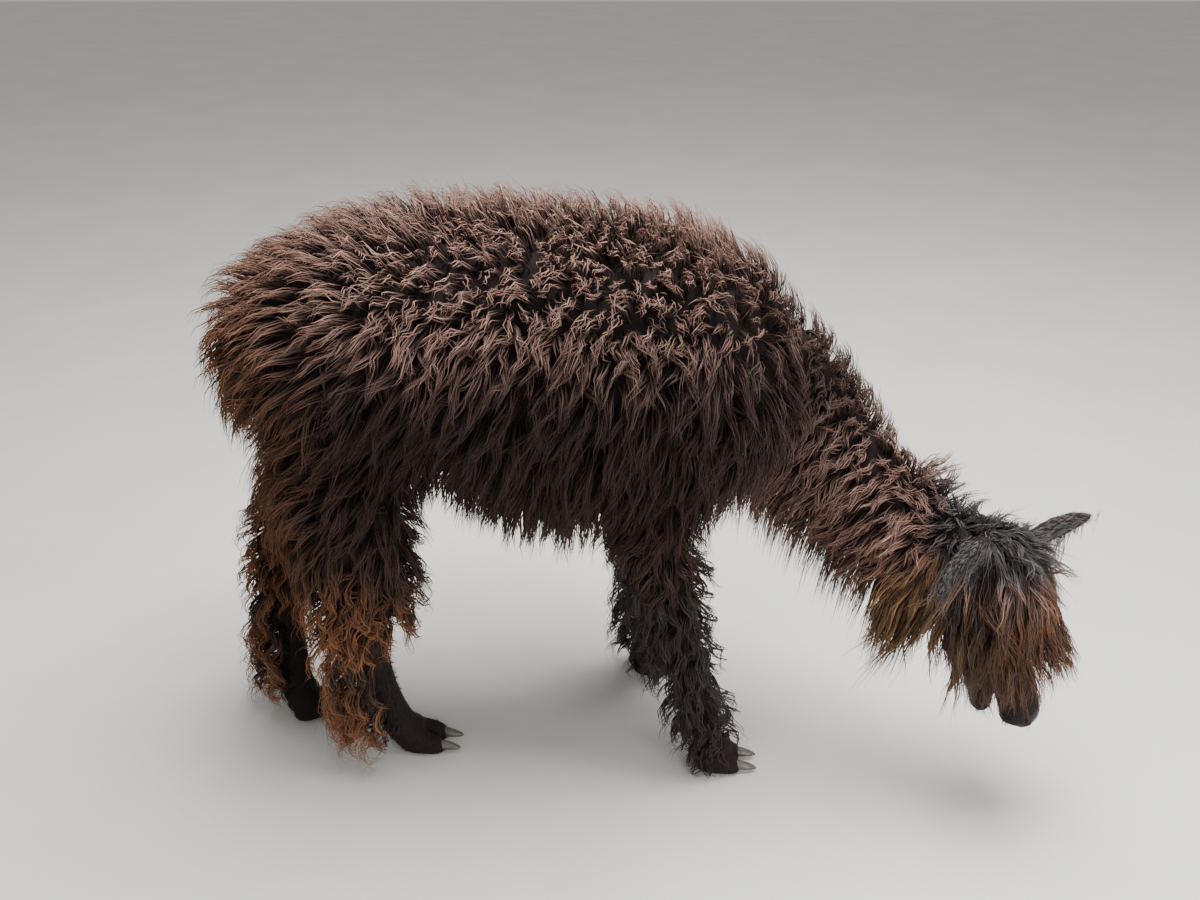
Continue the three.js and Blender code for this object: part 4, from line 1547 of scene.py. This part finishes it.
@cache
def wools():
    """The materials of the coat, by the kind of wool."""
    settings = bpy.context.scene.alpaca_fleece
    # Painted sheen: the forelock's tips are lighter than the body's, standing in for highlights on glossy
    # hair; its tawny ends are its own colour, made brighter to offset the shade over the hem.
    forelock = {
        "Root": (0.030, 0.0155, 0.0120),
        "Tip": (0.200, 0.108, 0.086),
        "Tawny tip": (0.820, 0.280, 0.072),
    }
    # Painted light: the neck's roots are lighter, so the shade between its locks reads less dark.
    neck = {"Root": (0.034, 0.0178, 0.0138)}
    # Painted light: the ruff's roots and tips are much lighter, and its ochre tips brighter, standing in for
    # sunlight through the hair where the ruff lies in its own shade; the ochre itself is the wool's colour.
    ruff = {
        "Root": (0.240, 0.125, 0.074),
        "Tip": (0.330, 0.182, 0.132),
        "Ochre tip": (0.980, 0.540, 0.210),
    }
    short = {"Tawny tip": (0.060, 0.030, 0.022)}
    ear = dict.fromkeys(("Tip", "Tawny tip", "Ochre tip", "Painted sunlight tip", "Grey tip"), (0.160, 0.157, 0.162))
    ear.update({"Root": (0.026, 0.025, 0.028), "Black": (0.034, 0.033, 0.036)})
    return {
        "wool": wool_material("Fleece", settings, 0.68),
        "forelock": wool_material("Forelock", settings, 0.40, 0.25, **forelock),
        "neck": wool_material("Neck fleece", settings, 0.64, **neck),
        "ruff": wool_material("Ruff", settings, 0.64, **ruff),
        "glossy": wool_material("Leg curls", settings, 0.48, 0.25),
        "short": wool_material("Short hair", settings, 0.55, 0.2, **short),
        "ear": wool_material("Ear hair", settings, 0.55, 0.2, **ear),
    }


# The kind of wool in each region; the others bear plain wool.
KINDS = {
    "ear": "ear",
    "ear_edge": "ear",
    "face": "short",
    "shank": "short",
    "crown": "forelock",
    "poll": "forelock",
    "fore": "glossy",
    "ringlets": "glossy",
    "ruff": "ruff",
    "neck_right": "neck",
    "neck_left": "neck",
}


def grow(pieces):
    """Grows pieces of the coat, each from its name, region, wool, lie, seed and, if any, its span."""
    for name, region, wool, lie, seed, *span_of in pieces:
        kind = KINDS.get(region, "wool")
        weight = coat_regions()[region]
        piece = coat_piece(skin_pelt(), name, wool, weight, lie, wools()[kind], seed, *span_of)


class ALPACA_OT_skin(bpy.types.Operator):
    """Build the one skin that stands for every solid of flesh"""

    bl_idname = "alpaca.skin"
    bl_label = "Skin"

    def execute(self, context):
        mesh = build_skin(context.scene.alpaca_skin)
        piece = show("skin", mesh, skin_material(context.scene.alpaca_fleece))
        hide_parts(*FLEECED, *SHANKS, *BARE, "forelock")
        return {"FINISHED"}


def eyeball(side, sizes):
    """A ball with a raised cornea, whose points know how far they lie ahead, up and outwards on it."""
    work = bmesh.new()
    bmesh.ops.create_uvsphere(work, u_segments=sizes.segments, v_segments=sizes.segments // 2, radius=1.0)
    mesh = mesh_from(work, "eyeball_" + side)
    sign = SIGNS[side]
    ball = coordinates(mesh)
    ball = np.stack([ball[:, 0], ball[:, 2] * sign, -ball[:, 1] * sign], 1)
    front = ball[:, 1] * sign
    radius = EYE_RADIUS + sizes.cornea * smooth_step(0.74, 0.95, front)
    low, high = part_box("eye_" + side)
    set_coordinates(mesh, np.array((low + high) / 2) + (ball * radius[:, None]) @ np.array(HEAD_AXES).T)
    carry(mesh, "gaze", np.stack([ball[:, 0], ball[:, 2], front], 1))
    return mesh


def claw(name, solid):
    """A long curved nail around its solid, ridged on top and worn at the tip."""
    middle = solid.mean(0)
    ahead = np.linalg.svd((solid - middle) * (1, 1, 0))[2][0]
    ahead = ahead * np.sign(ahead[0])
    across = np.array((-ahead[1], ahead[0], 0.0))
    run, side = (solid - middle) @ ahead, (solid - middle) @ across
    floor, half_high = solid[:, 2].min(), np.ptp(solid[:, 2]) / 2
    stations, in_toe = 12, 0.004
    share = np.linspace(0, 1, stations)
    taper = np.sqrt(1 - 0.97 * share**7)
    path = np.empty((stations, 5))
    path[:, 0] = run.min() - in_toe + (np.ptp(run) + in_toe) * share
    path[:, 1] = (side.min() + side.max()) / 2
    path[:, 2] = 0.0008 + half_high * (0.98 - 0.66 * share**1.6)
    path[:, 3] = half_high * (0.94 - 0.64 * share**1.8) * taper
    path[:, 4] = np.ptp(side) / 2 * (1.02 - 0.58 * share**2.2) * taper
    points, faces = lofted(path, sides=20, rings=30)
    ridge = (points[:, 2] - np.interp(points[:, 0], path[:, 0], path[:, 2])) / half_high
    points[:, 1] += (path[0, 1] - points[:, 1]) * 0.35 * np.clip(ridge, 0, 1)
    points[:, 2] = np.maximum(points[:, 2], 0.0)
    points = (middle * (1, 1, 0) + (0, 0, floor)) + points @ np.stack([ahead, across, (0, 0, 1)])
    return mesh_of(name, points, faces)


class ALPACA_OT_eyes(bpy.types.Operator):
    """Build both eyes, each a ball with a raised cornea"""

    bl_idname = "alpaca.eyes"
    bl_label = "Eyes"

    def execute(self, context):
        material = eye_material()
        for side in SIGNS:
            piece = show("eyeball_" + side, eyeball(side, context.scene.alpaca_eyes), material)
            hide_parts("eye_" + side)
        return {"FINISHED"}


class ALPACA_OT_nails(bpy.types.Operator):
    """Shape the two long nails of each foot, ridged on top and worn at the tip"""

    bl_idname = "alpaca.nails"
    bl_label = "Nails"

    def execute(self, context):
        material = nail_material()
        for name in NAILS:
            claw_name = name.replace("nail", "claw")
            piece = show(claw_name, claw(claw_name, coordinates(NODES[name].data)), material)
            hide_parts(name)
        return {"FINISHED"}


# The long wool of the body, from which the wool of most regions is drawn.
LONG = Wool(
    spacing=0.0130, strands=8, length=0.076, width=0.0024, wave=0.062, swing=0.0034, rings=4, gather=0.6,
    unison=0.5, upright=0.4, stray=0.32
)


class ALPACA_OT_body_wool(bpy.types.Operator):
    """Grow the fleece of the back, rump, flanks and shoulders"""

    bl_idname = "alpaca.body_wool"
    bl_label = "Body wool"

    def execute(self, context):
        back = replace(
            LONG, spacing=0.0120, strands=6, length=0.052, width=0.0027, wave=0.027, swing=0.0036,
            rings=5, stray=0.55, curl=0.8, under=0.35, upright=0.25, gather=0.5, tuck=0.1
        )
        rump = replace(LONG, hang=0.8, sag=0.65, tuck=0.15, lift=1.1)
        grow(
            (
                ("fleece_back", "back", back, body_lie, 1),
                ("fleece_rump_right", "rump_right", rump, body_lie, 2, rump_span),
                ("fleece_rump_left", "rump_left", rump, body_lie, 3, rump_span),
                ("fleece_flank_right", "flank_right", LONG, body_lie, 4),
                ("fleece_flank_left", "flank_left", LONG, body_lie, 5),
                ("fleece_shoulder", "shoulder", LONG, body_lie, 6, throat_span),
            )
        )
        return {"FINISHED"}


class ALPACA_OT_neck_wool(bpy.types.Operator):
    """Grow the fleece of the neck and the ruff behind the jaw"""

    bl_idname = "alpaca.neck_wool"
    bl_label = "Neck wool"

    def execute(self, context):
        neck = replace(
            LONG, spacing=0.0116, strands=9, length=0.058, width=0.0023, wave=0.042, gather=0.5,
            hang=0.95, tuck=0.15
        )
        ruff = replace(
            neck, spacing=0.0100, strands=12, length=0.138, width=0.0027, wave=0.070, swing=0.0028,
            rings=6, gather=0.38, under=0.15, hang=0.5, sag=0.15, uneven=0.28, tuck=0.0
        )
        grow(
            (
                ("fleece_neck_right", "neck_right", neck, body_lie, 7, throat_span),
                ("fleece_neck_left", "neck_left", neck, body_lie, 8, throat_span),
                ("ruff", "ruff", ruff, ruff_lie, 9),
            )
        )
        return {"FINISHED"}


class ALPACA_OT_leg_wool(bpy.types.Operator):
    """Grow the curls of the legs"""

    bl_idname = "alpaca.leg_wool"
    bl_label = "Leg wool"

    def execute(self, context):
        curls = Wool(
            0.0132, 7, 0.080, 0.0028, 0.042, 0.0064, curl=0.9, rings=8, gather=0.7, stray=0.35, under=0.3,
            unison=0.8, lift=1.2
        )
        ringlets = replace(
            curls, spacing=0.0125, spread=0.58, strands=10, length=0.165, wave=0.055, swing=0.0105,
            rings=12, gather=0.5, unison=0.95, under=0.1, hang=0.25, sag=0.35
        )
        fore = replace(
            curls, spacing=0.0118, strands=7, spread=0.8, length=0.076, width=0.0026, wave=0.050,
            swing=0.0078, rings=6, gather=0.8, under=0.35, lift=1.5, hang=0.55, sag=0.3
        )
        grow(
            (
                ("wool_hind_right", "hind_right", curls, body_lie, 10, thigh_span),
                ("wool_hind_left", "hind_left", curls, body_lie, 11, thigh_span),
                ("wool_ringlets", "ringlets", ringlets, body_lie, 17, ringlet_span),
                ("wool_fore", "fore", fore, body_lie, 12),
            )
        )
        return {"FINISHED"}


class ALPACA_OT_head_wool(bpy.types.Operator):
    """Grow the forelock and the short hair of the face, ears and shanks"""

    bl_idname = "alpaca.head_wool"
    bl_label = "Head wool"

    def execute(self, context):
        lock = Wool(
            0.0092, 11, 0.225, 0.0017, 0.080, 0.0036, rings=8, gather=0.25, stray=0.12, under=0.1,
            upright=0.7, spring=6, hang=0.5, sag=0.10, uneven=0.22, unison=0.5
        )
        tuft = Wool(
            0.0105, 10, 0.062, 0.0020, 0.050, 0.0034, rings=6, gather=0.5, stray=0.5, under=0.15,
            upright=0.8, spring=1.5, lift=1.9, uneven=0.3, hang=1.0
        )
        short = Wool(
            0.0058, 3, 0.0085, 0.0013, 0.03, 0.0003, rings=3, gather=0.2, lift=0.5, stray=0.3, tuck=0.5,
            under=0
        )
        ear = replace(
            short, spacing=0.0038, strands=4, length=0.020, width=0.0009, uneven=0.6, lift=0.6, hang=0.9
        )
        wisp = replace(
            short, spacing=0.0080, strands=3, length=0.080, width=0.0009, wave=0.07, swing=0.0030,
            rings=8, lift=2.0, tuck=0.0, uneven=0.5, hang=0.25, sag=0.3
        )
        grow(
            (
                ("forelock_wool", "crown", lock, forelock_lie, 13, forelock_span),
                ("poll_tuft", "poll", tuft, forelock_lie, 18),
                ("face_hair", "face", short, face_lie, 14),
                ("ear_hair", "ear", ear, ear_lie, 15),
                ("ear_wisps", "ear_edge", wisp, ear_lie, 19),
                ("shank_hair", "shank", replace(short, spacing=0.0084, length=0.011), body_lie, 16),
            )
        )
        settings = context.scene.alpaca_fleece
        dark = dict.fromkeys(fleece_colours(settings), settings.black_colour)
        lash = wool_material("Lashes", settings, 0.40, 0.1, **dark)
        for side in EYE_PLACES:
            grown_lashes(skin_pelt(), "lashes_" + side, side, lash)
        return {"FINISHED"}


def lay_floor(scene, settings):
    """A plain floor, a little mottled."""
    work = bmesh.new()
    bmesh.ops.create_grid(work, x_segments=1, y_segments=1, size=12.0)
    mesh = mesh_from(work, "floor")
    floor = bpy.data.objects.new("floor", mesh)
    scene.collection.objects.link(floor)
    material, wire, surface = new_material("Plain floor")
    mottle = wire.ramp(wire.noise(wire.position(), 3.0, 4.0), 0.3, 0.7, 0.97, 1.03)
    wire.put(surface.inputs["Base Color"], scaled_colour(wire, (*settings.floor_colour, 1), mottle))
    surface.inputs["Roughness"].default_value = 0.85
    mesh.materials.append(material)


def hang_lights(scene, settings):
    """An even sky, a key light overhead, a fill beside the camera and a low light before the head."""
    world = bpy.data.worlds.new("Even sky")
    world.use_nodes = True
    sky = world.node_tree.nodes["Background"]
    sky.inputs["Color"].default_value = (1.0, 0.99, 0.97, 1)
    sky.inputs["Strength"].default_value = settings.sky
    scene.world = world
    middle, head = Vector((0, 0, 0.5)), Vector((0.5, -0.15, 0.35))
    for name, power, size, place, aim in (
        ("Key", settings.key_power, 2.2, Vector((0.45, 0.0, 3.3)), middle),
        ("Fill", settings.fill_power, 2.0, Vector((1.8, -3.0, 1.3)), middle),
        ("Face", settings.face_power, 0.8, Vector((1.3, -1.6, 0.80)), head),
    ):
        light = bpy.data.lights.new(name, "AREA")
        light.energy = power
        light.size = size
        lamp = bpy.data.objects.new(name, light)
        lamp.location = place
        lamp.rotation_euler = (aim - place).to_track_quat("-Z", "Y").to_euler()
        scene.collection.objects.link(lamp)


def place_camera(scene, settings):
    """The camera stands level with the animal's middle and looks down on it."""
    lens = bpy.data.cameras.new("Camera")
    lens.lens = settings.lens
    lens.sensor_width = 36.0
    camera = bpy.data.objects.new("Camera", lens)
    camera.location = Vector((0, -settings.camera_distance, settings.camera_height)) - CENTRING
    camera.rotation_euler = (math.radians(90) - settings.camera_slope, 0, 0)
    scene.collection.objects.link(camera)
    scene.camera = camera


class ALPACA_OT_stage(bpy.types.Operator):
    """Lay the floor, hang the lights and place the camera"""

    bl_idname = "alpaca.stage"
    bl_label = "Stage"

    def execute(self, context):
        settings = context.scene.alpaca_stage
        lay_floor(context.scene, settings)
        hang_lights(context.scene, settings)
        place_camera(context.scene, settings)
        return {"FINISHED"}


STEPS = ("skin", "eyes", "nails", "body_wool", "neck_wool", "leg_wool", "head_wool", "stage")


class ALPACA_PT_panel(bpy.types.Panel):
    """Lists the settings and the steps"""

    bl_idname = "ALPACA_PT_panel"
    bl_label = "Alpaca"
    bl_space_type = "VIEW_3D"
    bl_region_type = "UI"
    bl_category = "Alpaca"

    def draw(self, context):
        scene = context.scene
        for settings in (scene.alpaca_skin, scene.alpaca_fleece, scene.alpaca_eyes, scene.alpaca_stage):
            box = self.layout.box()
            for key in settings.__annotations__:
                box.prop(settings, key)
        for step in STEPS:
            self.layout.operator("alpaca." + step)


SETTINGS = {
    "alpaca_skin": AlpacaSkinSettings,
    "alpaca_fleece": AlpacaFleeceSettings,
    "alpaca_eyes": AlpacaEyeSettings,
    "alpaca_stage": AlpacaStageSettings,
}
CLASSES = (
    *SETTINGS.values(),
    ALPACA_OT_skin,
    ALPACA_OT_eyes,
    ALPACA_OT_nails,
    ALPACA_OT_body_wool,
    ALPACA_OT_neck_wool,
    ALPACA_OT_leg_wool,
    ALPACA_OT_head_wool,
    ALPACA_OT_stage,
    ALPACA_PT_panel,
)


def register():
    """Adds the settings, the steps and the panel."""
    for cls in CLASSES:
        bpy.utils.register_class(cls)
    for name, group in SETTINGS.items():
        setattr(bpy.types.Scene, name, PointerProperty(type=group))


def unregister():
    """Takes the settings, the steps and the panel away."""
    for name in SETTINGS:
        delattr(bpy.types.Scene, name)
    for cls in reversed(CLASSES):
        bpy.utils.unregister_class(cls)


def main():
    """Runs every step."""
    register()
    for step in STEPS:
        getattr(bpy.ops.alpaca, step)()


if __name__ == "__main__":
    main()
